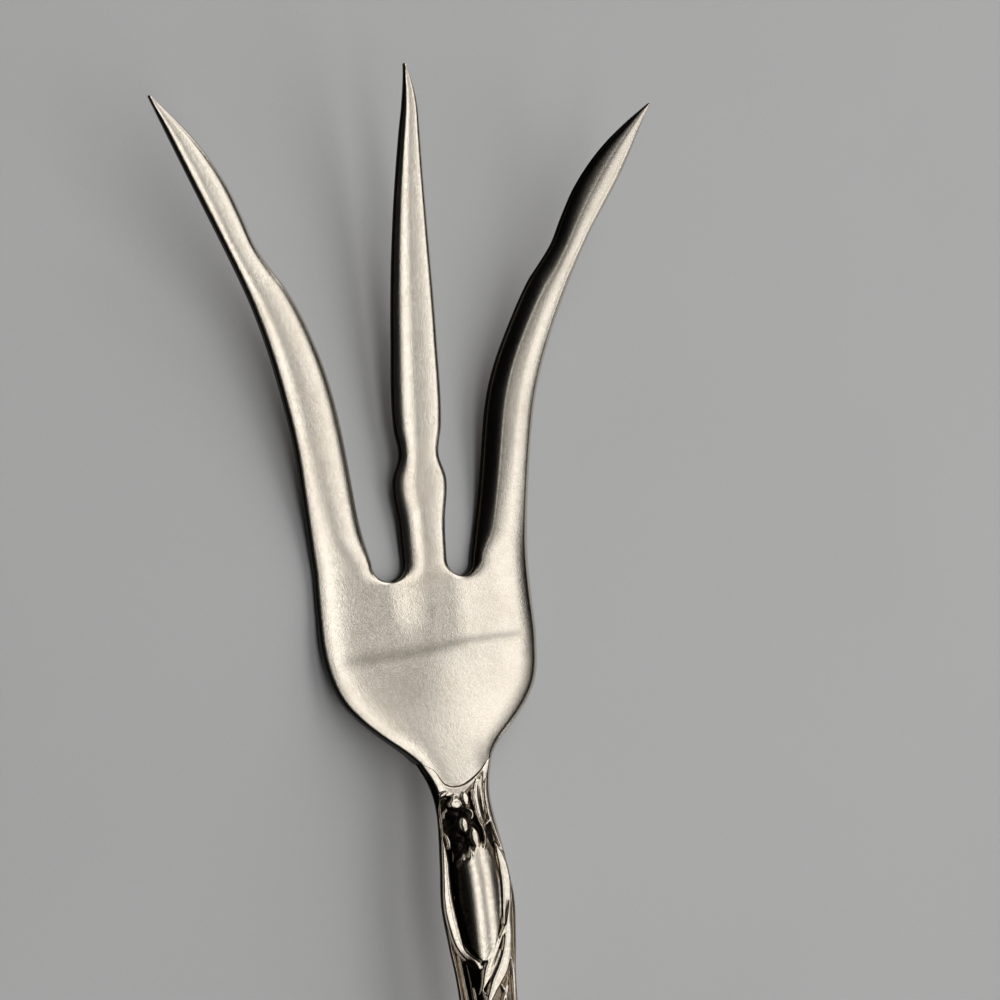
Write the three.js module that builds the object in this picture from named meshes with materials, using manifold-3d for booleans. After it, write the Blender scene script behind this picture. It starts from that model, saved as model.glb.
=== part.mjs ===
// Serving fork with three splayed tines and a hollow handle of two struck shells.
// The head ends in a tang, which is bedded in the cement core that fills the handle.
// Millimetres, +Z up. The fork lies face up with its tines towards +Y, and rests on
// the belly of its palm and on a flat under the end of the handle.
// While a piece is drawn, y = 0 is the heel, where the head meets the handle.

import * as THREE from 'three';
import Module from 'manifold-3d';

const wasm = await Module();
wasm.setup();

// Driving dimensions of the head
const palmLength = 26.0; // heel to the roots of the tines
const palmHalfWidth = 13.1;
const outerTineLength = 51.9; // root to tip, measured along Y
const middleTineLead = 3.8; // how far the middle tine reaches past the outer ones
const tipHalfSpread = 30.0; // centre line to the tip of an outer tine
const outerRootWidth = 6.8;
const outerShaftWidth = 5.4; // below the notch
const outerNotchWidth = 3.6; // at the notch in the inner edge
const outerBladeWidth = 3.95; // above the notch
const middleRootHalfWidth = 2.35;
const middleKnopHalfWidth = 2.95; // swelling above the root
const middleWaistHalfWidth = 2.1; // nick above the knop
const middleShaftHalfWidth = 2.65;
const middleTipCurl = 0.8; // how far the tip of the middle tine is bent to one side
const tipWidth = 0.3;
const palmThickness = 1.9;
const heelThickness = 3.7;
const tineTipThickness = 1.0;
const outerShoulder = 0.9; // width of the rounding along the outer outline
const innerShoulder = 2.0; // width of the rounding along the slots
const faceRounding = 0.38; // share of the thickness lost at a front edge
const backRounding = 0.15; // share of the thickness lost at a back edge
const bellyFlat = 0.1; // depth of the flat that the palm rests on

// Driving dimensions of the heel joint, a round tongue that closes the handle's mouth
const heelHalfWidth = 4.85; // across the joint at its ends
const tongueHalfWidth = 4.1; // the ends of the joint are square outside this
const heelRound = 1.2; // radius at the middle of the tongue
const heelSlope = 0.9; // rise of the tongue's flanks
const jointGap = 0.35;

// Driving dimensions of the handle
const handleLength = 121.3;
const mouthHalfWidth = 3.35; // just below the heel joint
const mouthY = 0.3;
const neckHalfWidth = 2.95;
const neckY = -2.8; // narrowest place of the neck
const panelHalfWidth = 3.95;
const panelY = -12.9; // middle of the oval panel
const panelHalfLength = 6.4;
const stemHalfWidth = 2.8;
const terminalHalfWidth = 8.6;
const neckDepth = 4.0;
const stemDepth = 4.2;
const terminalDepth = 4.6;
const endDepth = 2.2;
const shellWall = 0.5;
const rimShare = 0.38; // height of a shell at its rim, as a share of its crown
const seamGap = 0.3;
const restFlat = 0.45; // depth of the flat that the handle rests on

// Driving dimensions of the relief on the front of the handle
const lipHeight = 0.35; // raised lip along the heel joint
const lipWidth = 1.3;
const ribInset = 0.75; // edge of the handle to the middle of its border rib
const ribHalfWidth = 0.6;
const ribHeight = 0.4;
const panelCrown = 0.35;
const neckBlossomRadius = 2.3;
const neckBlossomY = -4.8;
const endBlossomRadius = 5.0;
const endBlossomInset = 11; // end of the handle to the middle of its blossom
const blossomHeight = 0.75;
const petalCount = 5;

// Driving dimensions of the tang and its bed
const tangLength = 44;
const tangHalfWidth = 1.3;
const tangEndHalfWidth = 0.85;
const tangThickness = 1.0;
const tangNotchDepth = 0.3;
const tangNotchPitch = 7;
const tangNotches = 3;
const tangRootOverlap = 3; // how far the tang runs into the heel
const bedGap = 0.3;
const coreMouthInset = 3; // heel to the near end of the core
const coreEndInset = 8; // far end of the core to the end of the handle

// Heights of the middle of the metal above the table
const endHeight = 2.9;
const archHeight = 8.85; // top of the handle's arch
const neckHeight = 8.1;
const shoulderHeight = 4.4;
const shaftHeight = 2.7;
const bendHeight = 6.45;
const tipHeight = 13.5;

const silver = new THREE.MeshStandardMaterial({ color: 0xd6d0c6, roughness: 0.3, metalness: 1 });
const cement = new THREE.MeshStandardMaterial({ color: 0x6b5f52, roughness: 0.9, metalness: 0 });

// A smooth function through [place, value] stations.
function through(stations) {
  const places = stations.map((s) => s[0]);
  const values = stations.map((s) => s[1]);
  const curve = new THREE.CubicInterpolant(places, values, 1);
  return (place) => curve.evaluate(THREE.MathUtils.clamp(place, places[0], places.at(-1)))[0];
}

// Evenly spaced numbers from first to last, both included.
function spaced(first, last, steps) {
  return Array.from({ length: steps + 1 }, (_, i) => first + ((last - first) * i) / steps);
}

// A soft bump: 1 at zero, 0 from one on.
function bump(distance) {
  const r = Math.min(1, Math.abs(distance));
  return (1 - r * r) ** 2;
}

const middleTineLength = outerTineLength + middleTineLead;
const tipY = palmLength + middleTineLength;
const endY = -handleLength;

// Side profile of the middle of the metal, from the end of the handle to the tip. The belly of
// the palm touches the table, and so does the flat under the handle.
const midline = through([
  [endY, endHeight],
  [endY * 0.9, terminalDepth / 2 - restFlat],
  [endY * 0.42, archHeight],
  [endY * 0.17, archHeight],
  [endY * 0.06, neckHeight],
  [palmLength * 0.2, shoulderHeight],
  [palmLength * 0.85, palmThickness / 2 - bellyFlat],
  [palmLength + middleTineLength * 0.23, shaftHeight],
  [palmLength + middleTineLength * 0.6, bendHeight],
  [tipY, tipHeight],
]);

const headThickness = through([
  [0, heelThickness],
  [palmLength * 0.16, heelThickness * 0.87],
  [palmLength * 0.62, palmThickness * 1.1],
  [palmLength * 0.85, palmThickness],
  [palmLength + middleTineLength * 0.3, palmThickness],
  [palmLength + middleTineLength * 0.7, palmThickness * 0.85],
  [tipY, tineTipThickness],
]);

// The tongue at the heel, seen from above.
function heelLine(x) {
  return Math.hypot(heelRound, heelSlope * Math.min(Math.abs(x), tongueHalfWidth)) - heelRound;
}

// How far the palm has widened, against the share of the way from the heel to the roots.
const palmFill = through([
  [0, 0],
  [0.05, 0.12],
  [0.155, 0.43],
  [0.245, 0.66],
  [0.345, 0.84],
  [0.55, 0.976],
  [0.78, 0.995],
  [1, 1],
]);
const heelEdge = heelLine(heelHalfWidth);

function palmEdge(share) {
  const half = heelHalfWidth + (palmHalfWidth - heelHalfWidth) * palmFill(share);
  return [half, heelEdge + (palmLength - heelEdge) * share];
}

// Outer tine: how far the outer edge has splayed, and the width, against the share of its length.
const splay = through([
  [0, 0],
  [0.1, 0.012],
  [0.27, 0.065],
  [0.43, 0.18],
  [0.62, 0.4],
  [0.79, 0.66],
  [1, 1],
]);
const outerWidth = through([
  [0, outerRootWidth],
  [0.1, outerShaftWidth * 1.08],
  [0.22, outerShaftWidth],
  [0.48, outerShaftWidth],
  [0.62, outerShaftWidth * 0.87],
  [0.66, outerNotchWidth * 1.12],
  [0.7, outerNotchWidth],
  [0.76, outerBladeWidth * 0.97],
  [0.83, outerBladeWidth],
  [0.91, outerBladeWidth * 0.78],
  [0.96, outerBladeWidth * 0.45],
  [1, tipWidth],
]);
const middleHalfWidth = through([
  [0, middleRootHalfWidth],
  [0.08, middleRootHalfWidth * 1.06],
  [0.17, middleKnopHalfWidth],
  [0.222, middleWaistHalfWidth],
  [0.28, middleShaftHalfWidth * 0.96],
  [0.34, middleShaftHalfWidth],
  [0.45, middleShaftHalfWidth * 0.93],
  [0.62, middleShaftHalfWidth * 0.8],
  [0.79, middleShaftHalfWidth * 0.6],
  [0.93, middleShaftHalfWidth * 0.33],
  [1, tipWidth / 2],
]);

function outerEdgeX(share) {
  return palmHalfWidth + (tipHalfSpread - palmHalfWidth) * splay(share);
}

// Half-width of the handle, from its mouth to its end.
const handleOutline = new THREE.SplineCurve([
  new THREE.Vector2(heelHalfWidth - jointGap, heelEdge - jointGap),
  new THREE.Vector2(mouthHalfWidth, mouthY),
  new THREE.Vector2(neckHalfWidth, neckY),
  new THREE.Vector2(panelHalfWidth * 0.9, panelY + panelHalfLength * 0.7),
  new THREE.Vector2(panelHalfWidth, panelY),
  new THREE.Vector2(panelHalfWidth * 0.91, panelY - panelHalfLength * 0.7),
  new THREE.Vector2(stemHalfWidth * 1.08, panelY - panelHalfLength * 1.7),
  new THREE.Vector2(stemHalfWidth, endY * 0.34),
  new THREE.Vector2(stemHalfWidth * 1.25, endY * 0.54),
  new THREE.Vector2(terminalHalfWidth * 0.72, endY * 0.75),
  new THREE.Vector2(terminalHalfWidth, endY * 0.9),
  new THREE.Vector2(terminalHalfWidth * 0.72, endY * 0.966),
  new THREE.Vector2(terminalHalfWidth * 0.3, endY * 0.994),
  new THREE.Vector2(0, endY),
]);

const handleDepth = through([
  [endY, endDepth],
  [endY * 0.97, terminalDepth * 0.8],
  [endY * 0.88, terminalDepth],
  [endY * 0.4, stemDepth],
  [0, neckDepth],
  [heelEdge, neckDepth],
]);

// A plan of four-sided cells. Patches that share points are stitched together.
class Plan {
  points = [];
  cells = [];
  #found = new Map();

  #place(x, y) {
    const key = `${x.toFixed(4)},${y.toFixed(4)}`;
    if (!this.#found.has(key)) {
      this.#found.set(key, this.points.length);
      this.points.push({ x, y });
    }
    return this.#found.get(key);
  }

  // rows run towards +Y, and the points of a row towards +X
  patch(rows) {
    const placed = rows.map((row) => row.map(([x, y]) => this.#place(x, y)));
    for (let r = 0; r + 1 < placed.length; r++) {
      for (let c = 0; c + 1 < placed[r].length; c++) {
        const corners = [placed[r][c], placed[r][c + 1], placed[r + 1][c + 1], placed[r + 1][c]];
        this.cells.push(corners.filter((p, i) => p !== corners[(i + 1) % corners.length]));
      }
    }
  }

  // directed edges that only one cell has
  border() {
    const edges = new Map();
    for (const cell of this.cells) {
      cell.forEach((a, i) => {
        const b = cell[(i + 1) % cell.length];
        edges.set(`${a},${b}`, [a, b]);
      });
    }
    return [...edges.values()].filter(([a, b]) => !edges.has(`${b},${a}`));
  }
}

// The closed solid between two heights over a plan.
function plate(plan, top, bottom) {
  const count = plan.points.length;
  const position = [];
  for (const height of [top, bottom]) {
    for (const { x, y } of plan.points) position.push(x, y, height(x, y));
  }
  const index = [];
  for (const cell of plan.cells) {
    for (let i = 1; i + 1 < cell.length; i++) {
      index.push(cell[0], cell[i], cell[i + 1]);
      index.push(cell[0] + count, cell[i + 1] + count, cell[i] + count);
    }
  }
  for (const [a, b] of plan.border()) index.push(a, a + count, b + count, a, b + count, b);
  const geometry = new THREE.BufferGeometry();
  geometry.setAttribute('position', new THREE.Float32BufferAttribute(position, 3));
  geometry.setIndex(index);
  return geometry;
}

function solid(geometry) {
  return new wasm.Manifold(
    new wasm.Mesh({
      numProp: 3,
      vertProperties: new Float32Array(geometry.attributes.position.array),
      triVerts: new Uint32Array(geometry.index.array),
    }),
  );
}

function surface(body) {
  const mesh = body.getMesh();
  const geometry = new THREE.BufferGeometry();
  geometry.setAttribute('position', new THREE.BufferAttribute(mesh.vertProperties, 3));
  geometry.setIndex(new THREE.BufferAttribute(mesh.triVerts, 1));
  return geometry;
}

// Shares across a strip, closer together at both edges.
const acrossTine = [0, 0.07, 0.2, 0.4, 0.6, 0.8, 0.93, 1];
const alongOuterTine = [
  ...spaced(0, 0.6, 14),
  0.63,
  0.66,
  0.68,
  0.7,
  0.73,
  ...spaced(0.76, 0.94, 6),
  0.96,
  0.98,
  1,
];
const alongMiddleTine = [
  ...spaced(0, 0.14, 4),
  0.16,
  0.18,
  0.2,
  0.222,
  0.25,
  0.28,
  ...spaced(0.32, 0.92, 12),
  0.96,
  1,
];
const slotSteps = 8;

// One row of an outer tine on the +X side, from its inner to its outer edge.
function outerTineRow(share) {
  const outer = outerEdgeX(share);
  const width = outerWidth(share);
  const y = palmLength + outerTineLength * share;
  return acrossTine.map((a) => [outer - width * (1 - a), y]);
}

// One row of the middle tine before its tip is bent.
function middleTineRow(share) {
  const half = middleHalfWidth(share);
  return acrossTine.map((a) => [half * (2 * a - 1), palmLength + middleTineLength * share]);
}

// How far the metal is bent towards -X near the tip of the middle tine.
function tipCurl(y) {
  const bentLength = middleTineLength * 0.1;
  return middleTipCurl * Math.max(0, (y - tipY + bentLength) / bentLength) ** 2;
}

function mirrored(row) {
  return row.map(([x, y]) => [-x, y]).reverse();
}

// The round bottom of the slot on the +X side, from the middle tine to the outer one.
const slotInner = middleRootHalfWidth;
const slotOuter = palmHalfWidth - outerRootWidth;
const slotRadius = (slotOuter - slotInner) / 2;
const slotRow = spaced(Math.PI, 2 * Math.PI, slotSteps).map((angle, i) => {
  const x = (slotInner + slotOuter) / 2 + slotRadius * Math.cos(angle);
  const atRoot = i === 0 || i === slotSteps;
  return [x, palmLength + (atRoot ? 0 : slotRadius * Math.sin(angle))];
});

// The head's plan: the palm between the heel and the roots, then the three tines.
function headPlan() {
  const halfRoot = [...slotRow, ...outerTineRow(0).slice(1)];
  const rootRow = [...mirrored(halfRoot), ...middleTineRow(0).slice(1, -1), ...halfRoot];
  const tongueReach = palmLength * 0.4;
  const slotReach = palmLength * 0.5;
  const palmRows = [0, 0.02, 0.06, ...spaced(0.12, 0.88, 10), 0.94, 0.98, 1].map((share) => {
    const [half, edgeY] = palmEdge(share);
    const tongue = Math.max(0, 1 - (edgeY - heelEdge) / tongueReach) ** 2;
    const slot = Math.max(0, 1 - (palmLength - edgeY) / slotReach) ** 2;
    return rootRow.map(([x, y]) => {
      const across = x / palmHalfWidth;
      const drop = (heelEdge - heelLine(across * heelHalfWidth)) * tongue;
      return [across * half, edgeY - drop + (y - palmLength) * slot];
    });
  });
  const plan = new Plan();
  plan.patch(palmRows);
  plan.patch(alongMiddleTine.map((share) => middleTineRow(share).map(([x, y]) => [x - tipCurl(y), y])));
  plan.patch(alongOuterTine.map(outerTineRow));
  plan.patch(alongOuterTine.map((share) => mirrored(outerTineRow(share))));
  return plan;
}

// Distance from a plan point to a broken line.
function distanceTo(line, x, y) {
  let least = Infinity;
  for (let i = 0; i + 1 < line.length; i++) {
    const [ax, ay] = line[i];
    const [bx, by] = line[i + 1];
    const length2 = Math.max(1e-9, (bx - ax) ** 2 + (by - ay) ** 2);
    const along = THREE.MathUtils.clamp(((x - ax) * (bx - ax) + (y - ay) * (by - ay)) / length2, 0, 1);
    least = Math.min(least, Math.hypot(x - ax - along * (bx - ax), y - ay - along * (by - ay)));
  }
  return least;
}

// The struck blade: palm and tines with rounded shoulders, on the side profile.
function bladeGeometry() {
  const outerLine = [
    ...spaced(0, 1, 20).map(palmEdge),
    ...alongOuterTine.map((share) => outerTineRow(share).at(-1)),
  ];
  const innerLine = [
    ...alongMiddleTine.map((share) => middleTineRow(share).at(-1)).reverse(),
    ...slotRow,
    ...alongOuterTine.map((share) => outerTineRow(share)[0]),
  ];
  const rounding = (x, y) => {
    const side = Math.abs(x + tipCurl(y));
    const outer = Math.max(0, 1 - distanceTo(outerLine, side, y) / outerShoulder);
    const inner = Math.max(0, 1 - distanceTo(innerLine, side, y) / innerShoulder);
    return Math.max(outer, inner) ** 2;
  };
  return plate(
    headPlan(),
    (x, y) => midline(y) + headThickness(y) * (0.5 - faceRounding * rounding(x, y)),
    (x, y) => Math.max(0, midline(y) - headThickness(y) * (0.5 - backRounding * rounding(x, y))),
  );
}

// The tang, or the room that it needs when grow is a clearance.
function tangGeometry(grow) {
  const notchAt = (i) => -tangLength + tangNotchPitch * (i + 0.6);
  const halfWidth = (y) => {
    const taper = THREE.MathUtils.clamp(-y / tangLength, 0, 1);
    let notch = 0;
    for (let i = 0; i < tangNotches; i++) notch = Math.max(notch, bump((y - notchAt(i)) / 1.5));
    return tangHalfWidth + (tangEndHalfWidth - tangHalfWidth) * taper - tangNotchDepth * notch + grow;
  };
  const plan = new Plan();
  plan.patch(
    spaced(-tangLength - grow, tangRootOverlap, 44).map((y) => [-1, 0, 1].map((a) => [a * halfWidth(y), y])),
  );
  const half = tangThickness / 2 + grow;
  return plate(
    plan,
    (x, y) => midline(y) + half,
    (x, y) => midline(y) - half,
  );
}

// Rows of the handle's outline, from the mouth to the end.
const frontShares = [
  ...spaced(0, 0.21, 28),
  ...spaced(0.24, 0.76, 13),
  ...spaced(0.785, 0.97, 13),
  0.98,
  0.99,
  0.996,
  1,
];
const backShares = [
  ...spaced(0, 0.06, 10),
  ...spaced(0.09, 0.8, 18),
  ...spaced(0.825, 0.97, 12),
  0.98,
  0.99,
  0.996,
  1,
];
const outlineSteps = 240;
const outlineRows = spaced(0, 1, outlineSteps).map((share) => handleOutline.getPointAt(share));

// Half-width of the handle at any place along it.
function handleHalfWidth(y) {
  if (y >= outlineRows[0].y) return outlineRows[0].x;
  const next = outlineRows.findIndex((row) => row.y <= y);
  if (next < 1) return 0;
  const above = outlineRows[next - 1];
  const below = outlineRows[next];
  return above.x + ((below.x - above.x) * (above.y - y)) / (above.y - below.y);
}

// The handle's plan. Its first rows follow the tongue at the heel.
function handlePlan(shares, across) {
  const mouthReach = 7;
  const mouth = handleOutline.getPointAt(0);
  const rows = shares.map((share) => {
    const { x: half, y: edgeY } = handleOutline.getPointAt(share);
    const tongue = Math.max(0, 1 - (mouth.y - edgeY) / mouthReach) ** 2;
    return acrossShell(half, across).map((x) => {
      const heelX = half > 0 ? (x / half) * mouth.x : 0;
      return [x, edgeY - (heelEdge - heelLine(heelX)) * tongue];
    });
  });
  const plan = new Plan();
  plan.patch(rows.reverse());
  return plan;
}

// Places across a shell: the dome, then the wall out to the rim.
function acrossShell(half, across) {
  const wall = Math.min(shellWall, half * 0.45);
  const inside = half - wall * 1.1;
  const right = [...across.map((share) => inside * share), half - wall, half - wall / 2, half];
  return [...right.slice(1).map((x) => -x).reverse(), ...right];
}

// Height of a shell over the seam: a low dome with an upright rim.
function dome(x, y) {
  const across = Math.min(1, Math.abs(x) / Math.max(1e-6, handleHalfWidth(y)));
  return (handleDepth(y) / 2) * (rimShare + (1 - rimShare) * Math.sqrt(1 - across ** 2.4));
}

// A blossom in low relief: a ring of round petals about a raised eye.
function blossom(x, y, centreY, radius) {
  const away = Math.hypot(x, y - centreY) / radius;
  const angle = Math.atan2(x, y - centreY);
  const reach = 0.7 + 0.3 * Math.abs(Math.cos((petalCount * angle) / 2));
  const petals = away < reach ? 0.4 + 0.6 * Math.sin((Math.PI * away) / reach) : 0;
  return blossomHeight * Math.max(petals, bump(away / 0.35));
}

// Relief on the front: a lip at the heel, a rib along each edge, an oval panel and two blossoms.
function relief(x, y) {
  const half = handleHalfWidth(y);
  const lip = lipHeight * bump((heelLine(x) - jointGap - y) / lipWidth);
  const rib = half > 2 * ribInset ? ribHeight * bump((half - Math.abs(x) - ribInset) / ribHalfWidth) : 0;
  const panelAway = Math.hypot(x / (panelHalfWidth * 0.62), (y - panelY) / panelHalfLength);
  const flowers = Math.max(
    blossom(x, y, neckBlossomY, neckBlossomRadius),
    blossom(x, y, endY + endBlossomInset, endBlossomRadius),
  );
  return Math.max(lip, rib, panelCrown * bump(panelAway), flowers);
}

// True over the hollow of the handle, false over the rim.
function overHollow(x, y) {
  return Math.abs(x) < handleHalfWidth(y) - shellWall * 1.05;
}

const frontSeam = (y) => midline(y) + seamGap / 2;
const backSeam = (y) => midline(y) - seamGap / 2;
const frontOutside = (x, y) => midline(y) + dome(x, y);
const frontInside = (x, y) => frontOutside(x, y) - shellWall;

// The back is flat where it would pass below the table.
const backOutside = (x, y) => Math.max(0, midline(y) - dome(x, y));
const backInside = (x, y) => backOutside(x, y) + shellWall;

function frontShellGeometry() {
  return plate(
    handlePlan(frontShares, [0, 0.2, 0.4, 0.6, 0.8, 1]),
    (x, y) => frontOutside(x, y) + relief(x, y),
    (x, y) => (overHollow(x, y) ? frontInside(x, y) : frontSeam(y)),
  );
}

function backShellGeometry() {
  return plate(
    handlePlan(backShares, [0, 0.25, 0.5, 0.75, 1]),
    (x, y) => (overHollow(x, y) ? backInside(x, y) : backSeam(y)),
    backOutside,
  );
}

// The cement that fills the hollow, before the tang's bed is taken out of it.
function coreGeometry() {
  const plan = new Plan();
  const terminalY = endY * 0.84;
  const rows = [
    ...spaced(endY + coreEndInset, terminalY, 8),
    ...spaced(terminalY, -coreMouthInset, 22).slice(1),
  ];
  plan.patch(
    rows.map((y) => {
      const half = handleHalfWidth(y) - shellWall * 1.1 - bedGap;
      return [-1, -0.85, -0.6, -0.3, 0, 0.3, 0.6, 0.85, 1].map((share) => [half * share, y]);
    }),
  );
  return plate(
    plan,
    (x, y) => frontInside(x, y) - bedGap,
    (x, y) => backInside(x, y) + bedGap,
  );
}

function piece(name, geometry, material) {
  const mesh = new THREE.Mesh(geometry, material);
  mesh.name = name;
  return mesh;
}

const head = solid(bladeGeometry()).add(solid(tangGeometry(0)));
const core = solid(coreGeometry()).subtract(solid(tangGeometry(bedGap)));

const fork = new THREE.Group();
fork.add(
  piece('fork_head', surface(head), silver),
  piece('handle_front_shell', frontShellGeometry(), silver),
  piece('handle_back_shell', backShellGeometry(), silver),
  piece('handle_core', surface(core), cement),
);
fork.position.y = -(tipY + endY) / 2;

export default fork;
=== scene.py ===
"""Serving fork: a struck head with three splayed tines on a hollow handle in floral relief.

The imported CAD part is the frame. The head and both shells of the handle are modelled here again as
fine meshes over the same sizes, and the cement core keeps its CAD mesh.
Sizes are metres in the settings and millimetres in the mesh code, with y = 0 at the heel of the head.
"""

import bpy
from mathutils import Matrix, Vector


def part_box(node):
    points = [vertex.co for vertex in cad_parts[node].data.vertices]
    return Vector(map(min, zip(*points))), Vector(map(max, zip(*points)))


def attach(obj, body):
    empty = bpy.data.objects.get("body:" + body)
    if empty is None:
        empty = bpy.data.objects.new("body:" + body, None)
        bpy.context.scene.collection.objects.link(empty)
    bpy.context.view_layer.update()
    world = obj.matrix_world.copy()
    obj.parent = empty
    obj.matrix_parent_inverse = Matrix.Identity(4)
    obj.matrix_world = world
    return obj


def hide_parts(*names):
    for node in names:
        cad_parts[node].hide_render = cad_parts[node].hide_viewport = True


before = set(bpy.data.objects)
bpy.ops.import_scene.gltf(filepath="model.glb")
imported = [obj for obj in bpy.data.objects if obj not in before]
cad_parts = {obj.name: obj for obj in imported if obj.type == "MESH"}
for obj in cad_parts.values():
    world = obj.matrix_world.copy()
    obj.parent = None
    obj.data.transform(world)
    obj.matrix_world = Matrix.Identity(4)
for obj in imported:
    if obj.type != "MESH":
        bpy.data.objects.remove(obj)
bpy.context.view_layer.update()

import math
from types import SimpleNamespace

import bpy
import numpy as np
from bpy.props import FloatProperty, FloatVectorProperty, PointerProperty
from mathutils import Matrix, Vector

bl_info = {
    "name": "Serving Fork",
    "version": (1, 0, 0),
    "blender": (4, 5, 0),
    "location": "3D View > Sidebar > Fork",
    "description": "Builds the meshes, finishes and stage of a serving fork round its CAD frame",
    "category": "Object",
}

MM = 0.001
CURVE_STEPS = 8


def length(name, description, default):
    """A size property in metres."""
    return FloatProperty(name=name, description=description, default=default, unit="LENGTH", precision=5)


def colour(name, description, default):
    """A colour property in linear light."""
    return FloatVectorProperty(
        name=name, description=description, default=default, subtype="COLOR", size=3, min=0, max=1
    )


class ForkHeadSizes(bpy.types.PropertyGroup):
    """Sizes of the palm and the tines."""

    palm_length: length("Palm length", "Heel to the roots of the tines", 0.026)
    palm_half_width: length("Palm half-width", "Centre line to the edge of the palm", 0.0131)
    outer_tine_length: length("Outer tine", "Root to tip of an outer tine, along the fork", 0.0519)
    middle_tine_lead: length("Middle lead", "How far the middle tine passes the outer ones", 0.0038)
    tip_half_spread: length("Tip spread", "Centre line to the tip of an outer tine", 0.030)
    outer_root_width: length("Outer root", "Width of an outer tine at its root", 0.0068)
    outer_shaft_width: length("Outer shaft", "Width of an outer tine below its notch", 0.0054)
    outer_notch_width: length("Outer notch", "Width of an outer tine at its notch", 0.0036)
    outer_blade_width: length("Outer blade", "Width of an outer tine above its notch", 0.00395)
    middle_root_half: length("Middle root", "Half-width of the middle tine at its root", 0.00235)
    middle_knop_half: length("Middle knop", "Half-width of the swelling above the root", 0.00295)
    middle_waist_half: length("Middle waist", "Half-width of the nick above the knop", 0.0021)
    middle_shaft_half: length("Middle shaft", "Half-width of the middle tine's shaft", 0.00265)
    middle_tip_curl: length("Tip curl", "Sideways bend of the middle tine's tip", 0.0008)
    tip_width: length("Tip width", "Width of a tine at its very tip", 0.0003)
    palm_thickness: length("Palm thickness", "Thickness of the palm", 0.0019)
    heel_thickness: length("Heel thickness", "Thickness at the heel", 0.0037)
    tip_thickness: length("Tip thickness", "Thickness of the tines at their tips", 0.0010)
    edge_roll: length("Edge roll", "Width of the rounding along every edge", 0.0006)
    edge_drop: length("Edge drop", "Height of the rounding along every edge", 0.0005)
    side_swell: length("Side swell", "How far the sides of the head stand out beyond its plan", 0.0007)
    back_roll: length("Back roll", "Rounding of the back edges", 0.0004)
    heel_half_width: length("Heel half-width", "Half-width of the joint at its ends", 0.00455)
    tang_length: length("Tang", "Heel to the end of the tang", 0.044)
    tang_half_width: length("Tang half-width", "Half-width of the tang at the heel", 0.0013)
    tang_end_half_width: length("Tang end", "Half-width of the tang at its end", 0.00085)
    tang_thickness: length("Tang thickness", "Thickness of the tang", 0.0010)


class ForkHandleSizes(bpy.types.PropertyGroup):
    """Sizes of the hollow handle."""

    length: length("Length", "Heel to the end of the handle", 0.1213)
    mouth_half_width: length("Mouth half-width", "Just below the heel joint", 0.00345)
    neck_half_width: length("Neck half-width", "At the narrowest place of the neck", 0.00315)
    panel_half_width: length("Panel half-width", "Of the handle beside the oval panel", 0.00415)
    stem_half_width: length("Stem half-width", "Of the handle's slim stretch", 0.00295)
    terminal_half_width: length("Terminal half-width", "At the widest place of the end", 0.0086)
    neck_depth: length("Neck depth", "Front to back at the neck", 0.0040)
    stem_depth: length("Stem depth", "Front to back at the stem", 0.0042)
    terminal_depth: length("Terminal depth", "Front to back at the end", 0.0046)
    end_depth: length("End depth", "Front to back at the very end", 0.0022)
    wall: length("Shell wall", "Thickness of the struck shells", 0.0005)
    seam_gap: length("Seam", "Gap between the two shells", 0.00006)
    joint_gap: length("Heel joint", "Gap between the head and the shells", 0.00004)
    ground_depth: length("Ground depth", "How far the ground of the ornament is sunk", 0.00025)
    relief_height: length("Relief height", "Height of the ornament above its ground", 0.0005)
    panel_radius: length("Panel radius", "Radius of the oval panel across the handle", 0.0074)


class ForkFinish(bpy.types.PropertyGroup):
    """Colours and gloss of the metal, the cement and the stage."""

    silver: colour("Silver", "Worn silver", (0.79, 0.722, 0.623))
    silver_warm: colour("Warm silver", "Silver with a faint yellow tarnish", (0.70, 0.62, 0.507))
    # This black, with the patina brown at its fringes, also paints shade and dark reflections wherever
    # the meshes mark them
    tarnish_and_shade: colour("Tarnish", "Black tarnish in the hollows", (0.003, 0.0026, 0.0023))
    patina: colour("Patina", "Brown patina beside the hollows", (0.30, 0.225, 0.15))
    cement: colour("Cement", "Filling of the handle", (0.20, 0.165, 0.13))
    floor: colour("Floor", "Pale floor", (0.64, 0.64, 0.635))
    gloss: FloatProperty(
        name="Roughness",
        description="Roughness of the satin silver",
        default=0.20,
        min=0,
        max=1,
        subtype="FACTOR",
    )


class ForkSettings(bpy.types.PropertyGroup):
    """All settings of the fork."""

    head: PointerProperty(type=ForkHeadSizes)
    handle: PointerProperty(type=ForkHandleSizes)
    finish: PointerProperty(type=ForkFinish)


def millimetres(group):
    """The sizes of a settings group in millimetres."""
    return SimpleNamespace(**{name: getattr(group, name) / MM for name in group.__annotations__})


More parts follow.
